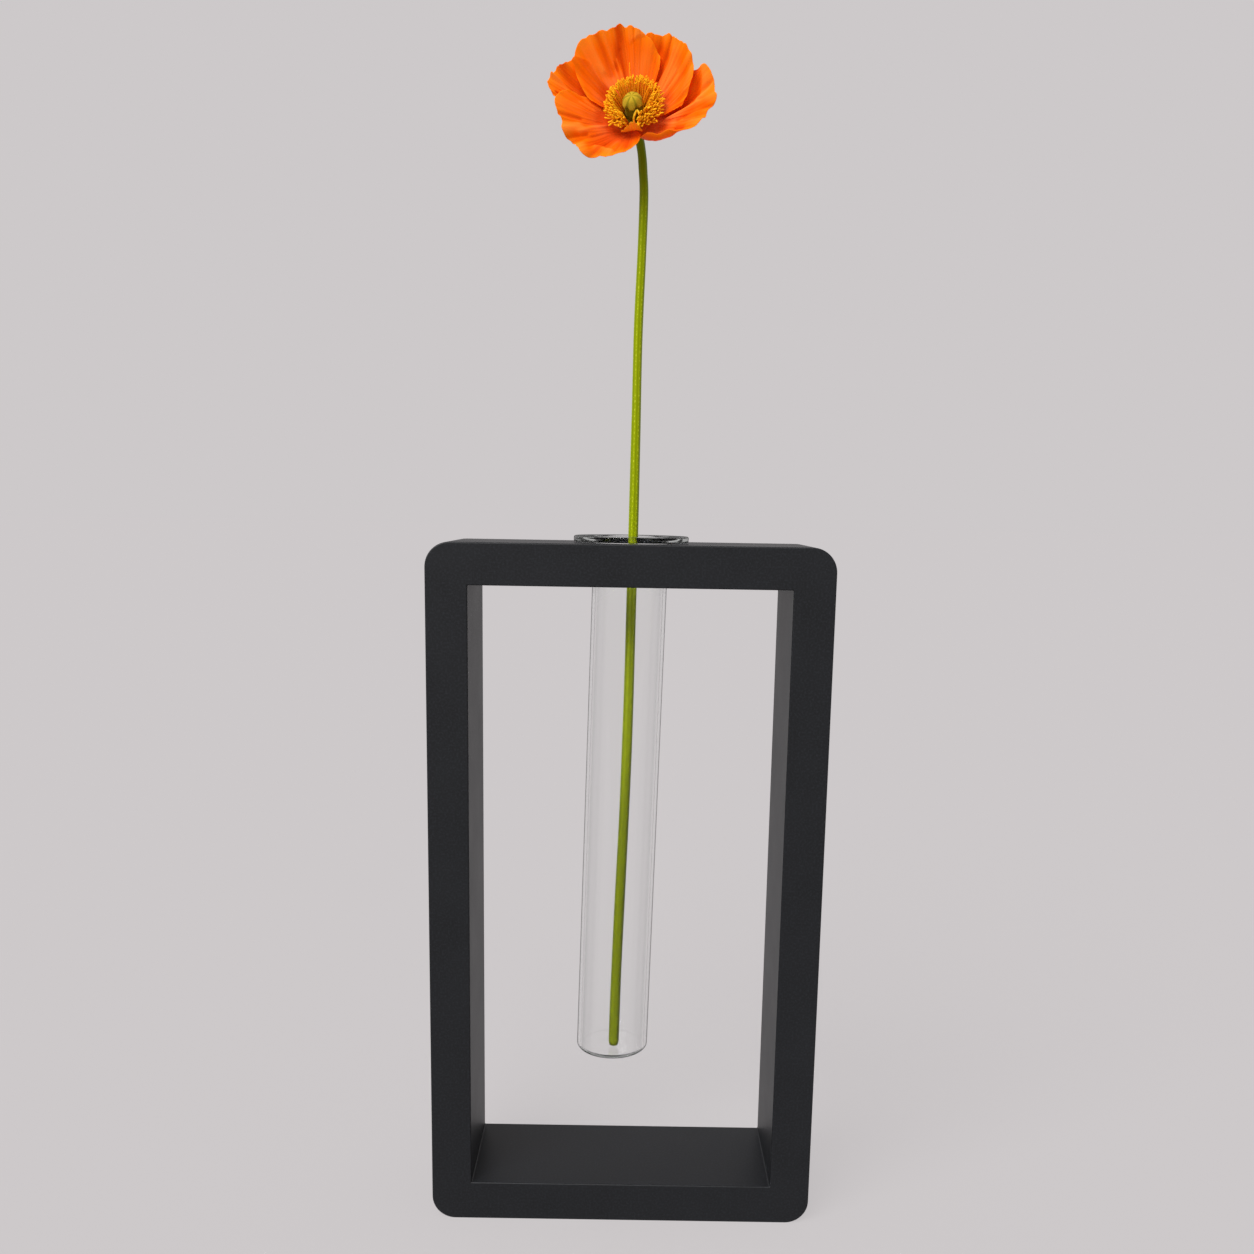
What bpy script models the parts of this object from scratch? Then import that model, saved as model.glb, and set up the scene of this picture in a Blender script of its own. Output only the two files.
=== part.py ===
"""An orange poppy standing in a glass tube that hangs in a painted wooden frame.

Metres, +Z up. The origin is the middle of the frame's underside, the frame is
wide along X, and the bloom looks towards -Y.
"""
import math
import random

import bmesh
import bpy
from mathutils import Vector

MM = 0.001
GAP = 0.3 * MM

# Frame of four mitred boards
FRAME_WIDTH = 154 * MM
FRAME_HEIGHT = 275 * MM
FRAME_DEPTH = 48 * MM
BOARD = 16 * MM
CORNER_RADIUS = 9.5 * MM
CORNER_STEPS = 5
HOLE_RADIUS = 15.5 * MM
HOLE_SIDES = 48

# Glass tube, which leans a little under its flat rim
TUBE_RADIUS = 14.66 * MM
TUBE_WALL = 1.3 * MM
TUBE_FLOOR = 1.4 * MM
TUBE_BELOW_RIM = 209.4 * MM
TUBE_HEEL = 1.8 * MM
TUBE_PUNT = 0.5 * MM
RIM_RADIUS = 22.4 * MM
RIM_THICKNESS = 2.4 * MM
TUBE_LEAN = math.radians(1.26)
TUBE_STEPS = 40

# Stem: places on its centre line from the cut end up to the neck, and its width there,
# all in millimetres
STEM_ROUTE = [
    (-3.9, -3.7, 67.9, 4.15),
    (-3.3, -2.3, 97.0, 4.15),
    (-2.3, -0.6, 129.5, 4.10),
    (-0.9, 1.9, 170.8, 4.05),
    (0.0, 4.9, 212.0, 4.05),
    (0.5, 8.8, 254.0, 4.00),
    (0.8, 11.1, 280.0, 3.95),
    (1.15, 12.9, 320.0, 3.65),
    (1.4, 14.0, 356.0, 3.50),
    (2.3, 14.5, 386.0, 3.45),
    (2.7, 14.3, 406.0, 3.40),
    (2.2, 13.9, 415.0, 3.35),
    (1.7, 13.3, 420.4, 3.30),
    (1.0, 11.9, 424.2, 3.30),
    (0.15, 9.5, 427.1, 3.35),
]
STEM_POINTS = 44
STEM_BEVEL = 3
NECK_BELOW = 2.2 * MM
NECK_INSIDE = 1.0 * MM

# Bloom: the top of the receptacle, and how far its face is tipped forward and turned
BLOOM_PLACE = Vector((-1.05, 5.0, 429.9)) * MM
BLOOM_TIP = math.radians(62)
BLOOM_TURN = math.radians(-8)
RECEPTACLE_RADIUS = 3.85 * MM
RECEPTACLE_DEPTH = 3.2 * MM
RECEPTACLE_STEPS = 24

# Bowl that the petals share, in the bloom's own frame, whose +Z is its axis
CLAW_REACH = 3.5 * MM
CLAW_HEIGHT = 0.62 * MM
BASE_SLOPE = math.tan(math.radians(13))
BOWL_START = 8 * MM
BOWL_REACH = 27 * MM
BOWL_POWER = 1.3
BOWL_RISE = [
    (-90, 14), (-60, 16), (-30, 19), (-10, 24), (0, 27), (20, 34), (45, 40), (75, 40.5),
    (100, 39), (125, 35), (150, 31), (165, 27), (185, 26), (200, 26), (211, 20.5),
    (224, 15.5), (236, 12.5), (254, 12.5), (270, 14),
]
LAYER_STEP = 1.15 * MM
LAYERS_PART_OVER = 2.4 * MM
FAN_START = 5.0 * MM
FAN_END = 13 * MM

# Folds that run out from the centre: bearing, width in degrees, height at the margin
FOLDS = [
    (101, 4.0, -1.6), (92, 3.5, 0.5), (83, 4.0, -0.5), (113, 4.0, -0.8), (131, 5.0, -0.9),
    (66, 6.0, -1.8), (52, 4.5, 0.8), (36, 5.0, -0.4), (26, 3.0, -0.6), (15, 4.0, 0.5),
    (4, 4.0, -0.8), (-6, 3.5, 0.7), (-15, 3.0, -0.9), (-24, 4.0, 0.6), (-38, 5.0, -0.6),
    (153, 4.0, -0.7), (163, 4.0, 0.6), (172, 4.0, -0.6), (187, 5.0, 0.7), (202, 3.0, -0.9),
    (210, 3.5, 0.8), (218, 3.0, -0.9), (229, 4.0, 0.9), (237, 3.0, -1.0), (248, 4.5, 0.8),
]
FOLD_START = 7 * MM
FOLD_END = 27 * MM

# Petals: layer (higher lies nearer the axis), bearing and half width of the claw in
# degrees, how late the margin curls, and stations along the free margin as bearing,
# reach and lift in millimetres
PETALS = {
    "petal_back": (1, 104, 32, 3.5, [
        (57, 12.5, 0), (56, 16, 0), (60, 18.6, 0), (70, 20.9, 0), (82, 22.8, -0.4),
        (90, 23.6, 0), (97, 24.2, 0), (102, 25.3, 0), (109, 24.7, 0), (118, 26.0, 0),
        (128, 26.8, 0), (140, 26.7, 0), (150, 25.2, 0), (159, 21.8, 0), (168, 17, 0),
        (167, 12.5, 0)]),
    "petal_upper_right": (0, 36, 32, 3.5, [
        (4, 10.5, 0.2), (-2, 14.5, 0.6), (2, 18.5, 0.9), (10, 21.2, 1.0), (18, 23.4, 1.0),
        (28, 24.6, 0.8), (38, 24.5, 0.6), (48, 24.2, 0.3), (56, 24.1, 0), (67, 24.1, 0),
        (78, 23.2, 0), (86, 20.0, 0), (90, 13, 0)]),
    "petal_right": (-1, -30, 30, 3.5, [
        (-75, 9.2, 0.2), (-64, 13.4, 1.6), (-52, 17.2, 2.6), (-39, 20.6, 2.0),
        (-28, 25.3, 1.0), (-21, 28.0, 0), (-14, 28.8, 0), (-9, 31.2, 0), (-3, 30.4, 0),
        (4, 30.3, 0), (12, 28.6, 0), (20, 26.3, 0), (28, 23.0, 0), (32, 18.5, 0),
        (33, 11.5, 0)]),
    "petal_left_behind": (-1, 165, 25, 3.5, [
        (126, 13, 0), (128, 19, 0), (136, 24.5, 0), (145, 27.3, 0), (153, 28.8, 0),
        (160, 30.2, 0), (167, 31.0, 0), (173, 31.0, 0), (178, 29.2, 0), (182, 25, 0),
        (184, 19, 0), (183, 13, 0)]),
    "petal_front_left": (0, 226, 32, 3.5, [
        (166, 12.5, 0), (166, 17.5, 0.2), (170, 20.8, 1.4), (175, 24.2, 2.4),
        (182, 26.3, 2.2), (190, 27.6, 1.4), (197, 27.7, 0.8), (203, 26.8, 0.4),
        (211, 28.0, 0), (218, 26.6, 0), (225, 26.8, 0), (232, 26.7, 0), (239, 23.2, 0),
        (248, 22.3, 0), (259, 18.9, 0), (272, 14.6, 0), (284, 10.6, 0), (287, 7.8, 0)]),
    "petal_small_front": (1, 276, 10, 6.0, [
        (264, 7.0, 0.3), (256, 9.4, 1.6), (258, 9.9, 3.2), (264, 9.0, 4.8),
        (270, 8.4, 5.6), (276, 8.9, 4.6), (283, 9.8, 2.8), (288, 9.6, 1.4),
        (287, 7.2, 0.3)]),
}
PETAL_THICKNESS = 0.6 * MM
PETAL_COLUMNS = 20
PETAL_ROWS = 9
SMALL_COLUMNS = 8
SMALL_ROWS = 7
SCALLOP_DEPTH = 0.2 * MM
SCALLOPS = 5

# Stamens: three rings of bent filaments on a narrow collar
COLLAR_INSIDE = 2.2 * MM
COLLAR_OUTSIDE = 2.9 * MM
COLLAR_HEIGHT = 1.0 * MM
COLLAR_STEPS = 32
STAMENS_IN_RING = 26
STAMEN_RINGS = [
    # root radius, tip radius, tip height in millimetres
    (2.7, 9.3, 7.7),
    (2.6, 8.3, 8.8),
    (2.5, 7.3, 9.7),
]
STAMEN_GAP = (256, 279)
# How much further than the mean the tips reach to the right and to the back
STAMEN_SKEW = (0.05, 0.04)
# Part of the way out and part of the way up, along one filament
STAMEN_BEND = [(0.0, 0.1), (0.14, 0.27), (0.5, 0.62), (1.0, 1.0)]
FILAMENT_RADIUS = 0.24 * MM
ANTHER_RADIUS = 0.52 * MM
ANTHER_LENGTH = 1.9 * MM
ANTHER_RISE = 0.7 * MM
# Spread of the stamens' bearings in degrees, and of their reach and height
STAMEN_SPREAD = (2.5, 0.5 * MM, 0.4 * MM)
STAMEN_SEED = 7

# Pistil: ribbed seed pod with a lobed cap, radius and height in millimetres
PISTIL_PROFILE = [
    (0.0, 12.2), (1.5, 12.05), (2.7, 11.55), (3.6, 10.7), (3.9, 10.05), (3.7, 9.6),
    (3.0, 9.3), (2.85, 8.2), (3.1, 6.2), (3.0, 4.4), (2.45, 2.8), (1.9, 1.75),
    (1.9, 0.3), (0.0, 0.3),
]
PISTIL_STEPS = 30
PISTIL_LOBES = 6
CAP_HEIGHT = 9.0 * MM
CAP_EDGE = 0.8 * MM
POD_FOOT = 2.2 * MM
CAP_RIPPLE = 0.07
POD_RIPPLE = 0.04
LOBE_DROOP = 0.45 * MM


def clear_scene():
    """Remove what the scene holds, so that only this object is left."""
    for old in list(bpy.data.objects):
        bpy.data.objects.remove(old, do_unlink=True)


def new_collection(name):
    collection = bpy.data.collections.new(name)
    bpy.context.scene.collection.children.link(collection)
    return collection


def new_material(name, colour, roughness, metallic=0.0, transmission=0.0, ior=1.5):
    material = bpy.data.materials.new(name)
    material.use_nodes = True
    shader = material.node_tree.nodes["Principled BSDF"]
    shader.inputs["Base Color"].default_value = (*colour, 1.0)
    shader.inputs["Roughness"].default_value = roughness
    shader.inputs["Metallic"].default_value = metallic
    shader.inputs["Transmission Weight"].default_value = transmission
    shader.inputs["IOR"].default_value = ior
    return material


def add_object(name, data, collection, material=None):
    made = bpy.data.objects.new(name, data)
    collection.objects.link(made)
    if material:
        made.data.materials.append(material)
    return made


def shade_round(mesh, angle=40):
    """Smooth the round faces and keep the edges that are sharper than the angle."""
    mesh.shade_smooth()
    mesh.set_sharp_from_angle(angle=math.radians(angle))


def as_mesh(source):
    """Replace an object by the mesh that it shows, welded, in the same place."""
    bpy.context.view_layer.update()
    shown = source.evaluated_get(bpy.context.evaluated_depsgraph_get())
    mesh = bpy.data.meshes.new_from_object(shown)
    cage = bmesh.new()
    cage.from_mesh(mesh)
    bmesh.ops.remove_doubles(cage, verts=cage.verts, dist=0.001 * MM)
    bmesh.ops.recalc_face_normals(cage, faces=cage.faces)
    cage.to_mesh(mesh)
    cage.free()
    name = source.name
    collection = source.users_collection[0]
    place = source.matrix_world.copy()
    parent = source.parent
    bpy.data.objects.remove(source, do_unlink=True)
    made = bpy.data.objects.new(name, mesh)
    collection.objects.link(made)
    made.parent = parent
    bpy.context.view_layer.update()
    made.matrix_world = place
    return made


def turned(name, profile, steps, collection, material=None, closed=False):
    """Turn a half section, a list of radius and height, round the Z axis."""
    mesh = bpy.data.meshes.new(name)
    edges = [(i, i + 1) for i in range(len(profile) - 1)]
    if closed:
        edges.append((len(profile) - 1, 0))
    mesh.from_pydata([(radius, 0, height) for radius, height in profile], edges, [])
    made = add_object(name, mesh, collection, material)
    screw = made.modifiers.new("turn", "SCREW")
    screw.axis = "Z"
    screw.steps = steps
    screw.render_steps = steps
    screw.use_merge_vertices = True
    screw.merge_threshold = 0.001 * MM
    return made


def arc(centre, radius, start, end, steps=5):
    """Points on an arc in the plane of a section, between two angles in degrees."""
    points = []
    for i in range(steps + 1):
        angle = math.radians(start + (end - start) * i / steps)
        points.append((centre[0] + radius * math.cos(angle), centre[1] + radius * math.sin(angle)))
    return points


def board_outline(length):
    """Front view of one board, outer side up, mitred at both ends of its inner side.

    Each end holds its half of the frame's rounded corner, and stands back from the
    mitre by half a gap.
    """
    stand_back = GAP / math.sqrt(2)
    centre = (length / 2 - CORNER_RADIUS, BOARD - CORNER_RADIUS)
    start = 45 + math.degrees(math.asin(stand_back / (CORNER_RADIUS * math.sqrt(2))))
    right_end = [(length / 2 - BOARD - stand_back, 0.0)]
    right_end += arc(centre, CORNER_RADIUS, start, 90, CORNER_STEPS)
    left_end = [(-x, y) for x, y in reversed(right_end)]
    return right_end + left_end


def make_board(name, length, turn, place, collection, material):
    """One board of the frame: its outline extruded through the depth."""
    curve = bpy.data.curves.new(name, "CURVE")
    curve.dimensions = "2D"
    curve.fill_mode = "BOTH"
    curve.extrude = FRAME_DEPTH / 2
    outline = board_outline(length)
    spline = curve.splines.new("POLY")
    spline.points.add(len(outline) - 1)
    for point, (x, y) in zip(spline.points, outline):
        point.co = (x, y, 0, 1)
    spline.use_cyclic_u = True
    made = add_object(name, curve, collection)
    made.rotation_euler = (math.pi / 2, turn, 0)
    made.location = place
    made = as_mesh(made)
    made.data.materials.clear()
    made.data.materials.append(material)
    shade_round(made.data, 30)
    return made


def make_frame(collection, cutters):
    """Four boards with their outer sides up, right, down and left."""
    paint = new_material("painted_wood", (0.022, 0.023, 0.024), 0.6)
    side_x = FRAME_WIDTH / 2 - BOARD
    middle = FRAME_HEIGHT / 2
    top = make_board("board_top", FRAME_WIDTH, 0, (0, 0, FRAME_HEIGHT - BOARD), collection, paint)
    make_board("board_right", FRAME_HEIGHT, math.pi / 2, (side_x, 0, middle), collection, paint)
    make_board("board_bottom", FRAME_WIDTH, math.pi, (0, 0, BOARD), collection, paint)
    make_board("board_left", FRAME_HEIGHT, -math.pi / 2, (-side_x, 0, middle), collection, paint)
    bpy.ops.mesh.primitive_cylinder_add(
        vertices=HOLE_SIDES, radius=HOLE_RADIUS, depth=2 * BOARD,
        location=(0, 0, FRAME_HEIGHT - BOARD / 2))
    drill = bpy.context.object
    drill.name = "tube_hole"
    for holder in list(drill.users_collection):
        holder.objects.unlink(drill)
    cutters.objects.link(drill)
    drill.hide_render = True
    drill.display_type = "WIRE"
    cut = top.modifiers.new("tube_hole", "BOOLEAN")
    cut.operation = "DIFFERENCE"
    cut.object = drill


def tube_profile():
    """Half section of the tube, from the floor inside, over the rim, to underneath.

    Heights are from the underside of the rim.
    """
    inside = TUBE_RADIUS - TUBE_WALL
    bottom = -TUBE_BELOW_RIM
    floor = bottom + TUBE_FLOOR
    heel_inside = TUBE_HEEL - TUBE_WALL
    lip = RIM_THICKNESS / 2
    flare = RIM_THICKNESS
    points = [(0.0, floor)]
    points += arc((inside - heel_inside, floor + heel_inside), heel_inside, -90, 0)
    points += arc((inside + flare, 0.0), flare, 180, 90)
    points += arc((RIM_RADIUS - lip, lip), lip, 90, -90, 8)
    points += [(TUBE_RADIUS, 0.0)]
    points += arc((TUBE_RADIUS - TUBE_HEEL, bottom + TUBE_HEEL), TUBE_HEEL, 0, -90)
    points += [(TUBE_RADIUS / 2, bottom), (TUBE_RADIUS / 3, bottom + TUBE_PUNT)]
    points += [(0.0, bottom + TUBE_PUNT)]
    return points


def make_tube(collection):
    """The tube hangs by its rim, which lies flat just above the frame's top."""
    glass = new_material("clear_glass", (0.93, 0.96, 0.95), 0.03, transmission=1.0, ior=1.5)
    made = turned("glass_tube", tube_profile(), TUBE_STEPS, collection, glass)
    made = as_mesh(made)
    for vertex in made.data.vertices:
        vertex.co.x += math.tan(TUBE_LEAN) * vertex.co.z
    made.location = (0, 0, FRAME_HEIGHT + GAP)
    shade_round(made.data)
    return made


def on_curve(points, part):
    """Place at a part, 0 to 1, of the smooth curve that passes through the points."""
    before = points[0] * 2 - points[1]
    after = points[-1] * 2 - points[-2]
    padded = [before] + points + [after]
    spans = len(points) - 1
    span = min(int(part * spans), spans - 1)
    t = part * spans - span
    p0, p1, p2, p3 = padded[span:span + 4]
    return 0.5 * ((2 * p1) + (p2 - p0) * t + (2 * p0 - 5 * p1 + 4 * p2 - p3) * t ** 2
                  + (3 * p1 - p0 - 3 * p2 + p3) * t ** 3)


def rod(name, points, radii, bevel, collection, material=None):
    """A bent round rod along points in metres, with a radius at each, as a mesh."""
    curve = bpy.data.curves.new(name, "CURVE")
    curve.dimensions = "3D"
    curve.bevel_depth = MM
    curve.bevel_resolution = bevel
    curve.use_fill_caps = True
    spline = curve.splines.new("POLY")
    spline.points.add(len(points) - 1)
    for point, place, radius in zip(spline.points, points, radii):
        point.co = (*place, 1)
        point.radius = radius / MM
    made = as_mesh(add_object(name, curve, collection))
    if material:
        made.data.materials.clear()
        made.data.materials.append(material)
    return made


def join(base, pieces, name):
    """Fuse the objects of a collection into the base, and remove them."""
    union = base.modifiers.new(name, "BOOLEAN")
    union.operation = "UNION"
    union.operand_type = "COLLECTION"
    union.collection = pieces
    fused = as_mesh(base)
    for piece in list(pieces.objects):
        bpy.data.objects.remove(piece, do_unlink=True)
    bpy.data.collections.remove(pieces)
    return fused


def make_stem(collection, bloom):
    """The stem with the receptacle that carries the petals, grown as one."""
    green = new_material("poppy_stem", (0.22, 0.25, 0.025), 0.55)
    neck_below = bloom.matrix_world @ Vector((0, 0, -NECK_BELOW))
    neck_inside = bloom.matrix_world @ Vector((0, 0, -NECK_INSIDE))
    route = [Vector((x * MM, y * MM, z * MM, width * MM / 2)) for x, y, z, width in STEM_ROUTE]
    neck_radius = route[-1][3]
    route.append(Vector((*neck_below, neck_radius)))
    places = [on_curve(route, i / (STEM_POINTS - 1)) for i in range(STEM_POINTS)]
    places.append(Vector((*neck_inside, neck_radius)))
    stem = rod("stem", [place.xyz for place in places], [place[3] for place in places],
               STEM_BEVEL, collection, green)
    pieces = new_collection("receptacle_pieces")
    depth = RECEPTACLE_DEPTH
    radius = RECEPTACLE_RADIUS
    profile = [
        (0.0, 0.0), (0.95 * radius, 0.0), (radius, -0.08 * depth), (0.96 * radius, -0.25 * depth),
        (0.72 * radius, -0.55 * depth), (0.52 * radius, -0.85 * depth), (0.4 * radius, -depth),
        (0.0, -depth),
    ]
    receptacle = turned("receptacle", profile, RECEPTACLE_STEPS, pieces)
    receptacle.parent = bloom
    bpy.context.view_layer.update()
    fused = join(stem, pieces, "receptacle")
    fused.data.materials.clear()
    fused.data.materials.append(green)
    shade_round(fused.data)
    return fused


def smooth(x):
    """Ease from 0 to 1 as x does."""
    x = min(max(x, 0.0), 1.0)
    return x * x * (3 - 2 * x)


def bowl_rise(bearing):
    """Angle in degrees from the bowl's centre up to its rim, at a bearing in degrees."""
    bearing = (bearing + 90) % 360 - 90
    for (low, rise_low), (high, rise_high) in zip(BOWL_RISE, BOWL_RISE[1:]):
        if low <= bearing <= high:
            return rise_low + (rise_high - rise_low) * smooth((bearing - low) / (high - low))
    return BOWL_RISE[0][1]


def bowl_height(reach, bearing):
    """Height of the shared bowl: a shallow cone that steepens towards the rim."""
    cone = CLAW_HEIGHT + (reach - CLAW_REACH) * BASE_SLOPE
    cone_at_rim = CLAW_HEIGHT + (BOWL_REACH - CLAW_REACH) * BASE_SLOPE
    rim = BOWL_REACH * math.tan(math.radians(bowl_rise(bearing)))
    out = max(reach - BOWL_START, 0.0) / (BOWL_REACH - BOWL_START)
    return cone + (rim - cone_at_rim) * out ** BOWL_POWER


def fold_height(reach, bearing):
    """Height of the folds, which grow from nothing near the centre to the margin."""
    grown = smooth((reach - FOLD_START) / (FOLD_END - FOLD_START))
    total = 0.0
    for centre, width, height in FOLDS:
        away = (bearing - centre + 180) % 360 - 180
        total += height * MM * math.exp(-(away / width) ** 2)
    return total * grown


def petal_point(petal, across, along):
    """A point of a petal's middle surface, in the bloom's frame.

    Across runs from 0 to 1 over the petal's width, and along from 0 at the claw to 1
    at the margin.
    """
    layer, claw_bearing, claw_half, curl_power, stations = petal
    margin = [Vector((reach * MM * math.cos(math.radians(bearing)),
                      reach * MM * math.sin(math.radians(bearing)), lift * MM))
              for bearing, reach, lift in stations]
    edge = on_curve(margin, across)
    edge_reach = math.hypot(edge.x, edge.y)
    scallop = math.sin(2 * math.pi * SCALLOPS * across + claw_bearing)
    edge_reach += SCALLOP_DEPTH * scallop * math.sin(math.pi * across)
    start = claw_bearing + (2 * across - 1) * claw_half
    end = math.degrees(math.atan2(edge.y, edge.x))
    turn = (end - start + 180) % 360 - 180
    reach = CLAW_REACH + (edge_reach - CLAW_REACH) * along
    spread = (reach - FAN_START) / (min(edge_reach, FAN_END) - FAN_START)
    spread = min(max(spread, 0.0), 1.0)
    bearing = start + turn * (1 - (1 - spread) ** 2)
    step = 0.1 * MM
    slope = (bowl_height(reach + step, bearing) - bowl_height(reach - step, bearing)) / (2 * step)
    height = bowl_height(reach, bearing) + fold_height(reach, bearing)
    apart = smooth((reach - CLAW_REACH) / LAYERS_PART_OVER)
    height += layer * LAYER_STEP * math.hypot(1, slope) * apart
    height += edge.z * along ** curl_power
    angle = math.radians(bearing)
    return Vector((reach * math.cos(angle), reach * math.sin(angle), height))


def make_petal(name, petal, columns, rows, bloom, collection, material):
    """A flat grid moved onto the petal's surface, split into triangles and thickened."""
    cage = bmesh.new()
    bmesh.ops.create_grid(cage, x_segments=columns, y_segments=rows, size=0.5)
    for vertex in cage.verts:
        vertex.co = petal_point(petal, vertex.co.x + 0.5, vertex.co.y + 0.5)
    bmesh.ops.triangulate(cage, faces=cage.faces)
    mesh = bpy.data.meshes.new(name)
    cage.to_mesh(mesh)
    cage.free()
    made = add_object(name, mesh, collection, material)
    made.parent = bloom
    thicken = made.modifiers.new("thickness", "SOLIDIFY")
    thicken.thickness = PETAL_THICKNESS
    thicken.offset = 0
    mesh.shade_smooth()
    return made


def make_petals(collection, bloom):
    orange = new_material("poppy_petal", (0.93, 0.16, 0.008), 0.5)
    for name, petal in PETALS.items():
        small = name == "petal_small_front"
        columns = SMALL_COLUMNS if small else PETAL_COLUMNS
        rows = SMALL_ROWS if small else PETAL_ROWS
        make_petal(name, petal, columns, rows, bloom, collection, orange)


def stamen(name, bearing, root, tip, height, pieces):
    """One filament that bends outwards as it rises and swells into its anther."""
    outward = Vector((math.cos(bearing), math.sin(bearing), 0))
    shape = [(root + (tip - root) * out, height * up) for out, up in STAMEN_BEND]
    radii = [FILAMENT_RADIUS] * len(shape)
    shape.append((tip + 0.4 * ANTHER_LENGTH, height + 0.5 * ANTHER_RISE))
    radii.append(ANTHER_RADIUS)
    shape.append((tip + ANTHER_LENGTH, height + ANTHER_RISE))
    radii.append(0.5 * ANTHER_RADIUS)
    points = [outward * reach + Vector((0, 0, up)) for reach, up in shape]
    return rod(name, points, radii, 0, pieces)


def make_stamens(collection, bloom):
    """Rings of stamens fused to the collar that they stand on."""
    yellow = new_material("poppy_stamen", (0.85, 0.42, 0.02), 0.6)
    foot = GAP
    head = GAP + COLLAR_HEIGHT
    section = [(COLLAR_INSIDE, head), (COLLAR_OUTSIDE, head), (COLLAR_OUTSIDE, foot),
               (COLLAR_INSIDE, foot)]
    collar = turned("stamens", section, COLLAR_STEPS, collection, closed=True)
    pieces = new_collection("stamen_pieces")
    draw = random.Random(STAMEN_SEED)
    for ring, (root, tip, height) in enumerate(STAMEN_RINGS):
        for i in range(STAMENS_IN_RING):
            degrees = (i + ring / len(STAMEN_RINGS)) * 360 / STAMENS_IN_RING
            degrees += draw.uniform(-STAMEN_SPREAD[0], STAMEN_SPREAD[0])
            bearing = math.radians(degrees)
            reach = tip * MM + draw.uniform(-STAMEN_SPREAD[1], STAMEN_SPREAD[1])
            reach *= 1 + STAMEN_SKEW[0] * math.cos(bearing) + STAMEN_SKEW[1] * math.sin(bearing)
            up = height * MM + draw.uniform(-STAMEN_SPREAD[2], STAMEN_SPREAD[2])
            if STAMEN_GAP[0] < degrees % 360 < STAMEN_GAP[1]:
                continue
            stamen(f"stamen_{ring}_{i}", bearing, root * MM, reach, up, pieces)
    fused = join(collar, pieces, "stamens")
    fused.data.materials.clear()
    fused.data.materials.append(yellow)
    shade_round(fused.data)
    fused.parent = bloom
    return fused


def make_pistil(collection, bloom):
    """The seed pod, turned and then drawn out into lobes round its cap."""
    olive = new_material("poppy_pistil", (0.42, 0.42, 0.05), 0.7)
    profile = [(radius * MM, height * MM) for radius, height in PISTIL_PROFILE]
    made = as_mesh(turned("pistil", profile, PISTIL_STEPS, collection))
    for vertex in made.data.vertices:
        angle = math.atan2(vertex.co.y, vertex.co.x)
        cap = smooth((vertex.co.z - CAP_HEIGHT) / CAP_EDGE)
        pod = smooth((vertex.co.z - POD_FOOT) / CAP_EDGE) * (1 - cap)
        ripple = math.cos(PISTIL_LOBES * angle)
        from_axis = vertex.co.xy.length
        vertex.co.xy = vertex.co.xy * (1 + (CAP_RIPPLE * cap + POD_RIPPLE * pod) * ripple)
        vertex.co.z -= LOBE_DROOP * cap * ripple * smooth(from_axis / (4 * MM))
    made.data.materials.clear()
    made.data.materials.append(olive)
    shade_round(made.data, 60)
    made.parent = bloom
    return made


def make_poppy_in_vase():
    clear_scene()
    collection = new_collection("poppy_in_vase")
    cutters = new_collection("cutters")
    bloom = bpy.data.objects.new("bloom", None)
    collection.objects.link(bloom)
    bloom.location = BLOOM_PLACE
    bloom.rotation_euler = (BLOOM_TIP, 0, BLOOM_TURN)
    bpy.context.view_layer.update()
    make_frame(collection, cutters)
    make_tube(collection)
    make_stem(collection, bloom)
    make_petals(collection, bloom)
    make_stamens(collection, bloom)
    make_pistil(collection, bloom)


make_poppy_in_vase()
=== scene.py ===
# %% [markdown]
# # A poppy in a hanging glass tube
#
# One cut poppy stands in a clear glass tube, and the tube hangs by its rim in the
# top board of a dark frame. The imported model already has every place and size. This
# lesson dresses it: each plain solid gets a finer piece that keeps its form, and
# each piece gets the finish that the real thing has.

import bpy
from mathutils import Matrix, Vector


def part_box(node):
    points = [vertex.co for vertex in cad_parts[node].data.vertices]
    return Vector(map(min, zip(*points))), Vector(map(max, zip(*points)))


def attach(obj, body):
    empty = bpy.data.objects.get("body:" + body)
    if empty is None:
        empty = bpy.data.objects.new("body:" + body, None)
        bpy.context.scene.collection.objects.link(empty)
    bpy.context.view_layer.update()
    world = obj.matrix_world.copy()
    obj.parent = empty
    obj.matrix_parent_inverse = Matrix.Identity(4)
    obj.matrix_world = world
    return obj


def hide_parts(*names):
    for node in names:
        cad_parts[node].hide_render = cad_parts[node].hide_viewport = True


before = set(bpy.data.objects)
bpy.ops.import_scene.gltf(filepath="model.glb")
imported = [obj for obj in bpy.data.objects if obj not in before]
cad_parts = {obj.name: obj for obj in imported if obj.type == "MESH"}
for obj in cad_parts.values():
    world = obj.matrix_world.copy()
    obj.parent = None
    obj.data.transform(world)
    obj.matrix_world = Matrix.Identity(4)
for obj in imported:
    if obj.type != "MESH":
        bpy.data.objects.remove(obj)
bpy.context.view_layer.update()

# %% [markdown]
# ## Helpers that every piece shares
#
# Colours are given as sRGB hex codes, but shaders work in linear light, so
# one function turns them. A shader is a tree of nodes, and one function adds a node,
# sets it and links it. Where it is given a whole node, it links that node's result.

# %% Colours and nodes
import math
import random

import bmesh
import bpy
import numpy as np
from mathutils import Matrix, Vector

MM = 0.001


def colour(code):
    """Linear red, green and blue with an alpha of 1, from an sRGB hex code."""
    channels = [int(code[i:i + 2], 16) / 255 for i in (1, 3, 5)]
    return (*[c / 12.92 if c <= 0.04045 else ((c + 0.055) / 1.055) ** 2.4 for c in channels], 1.0)


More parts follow.
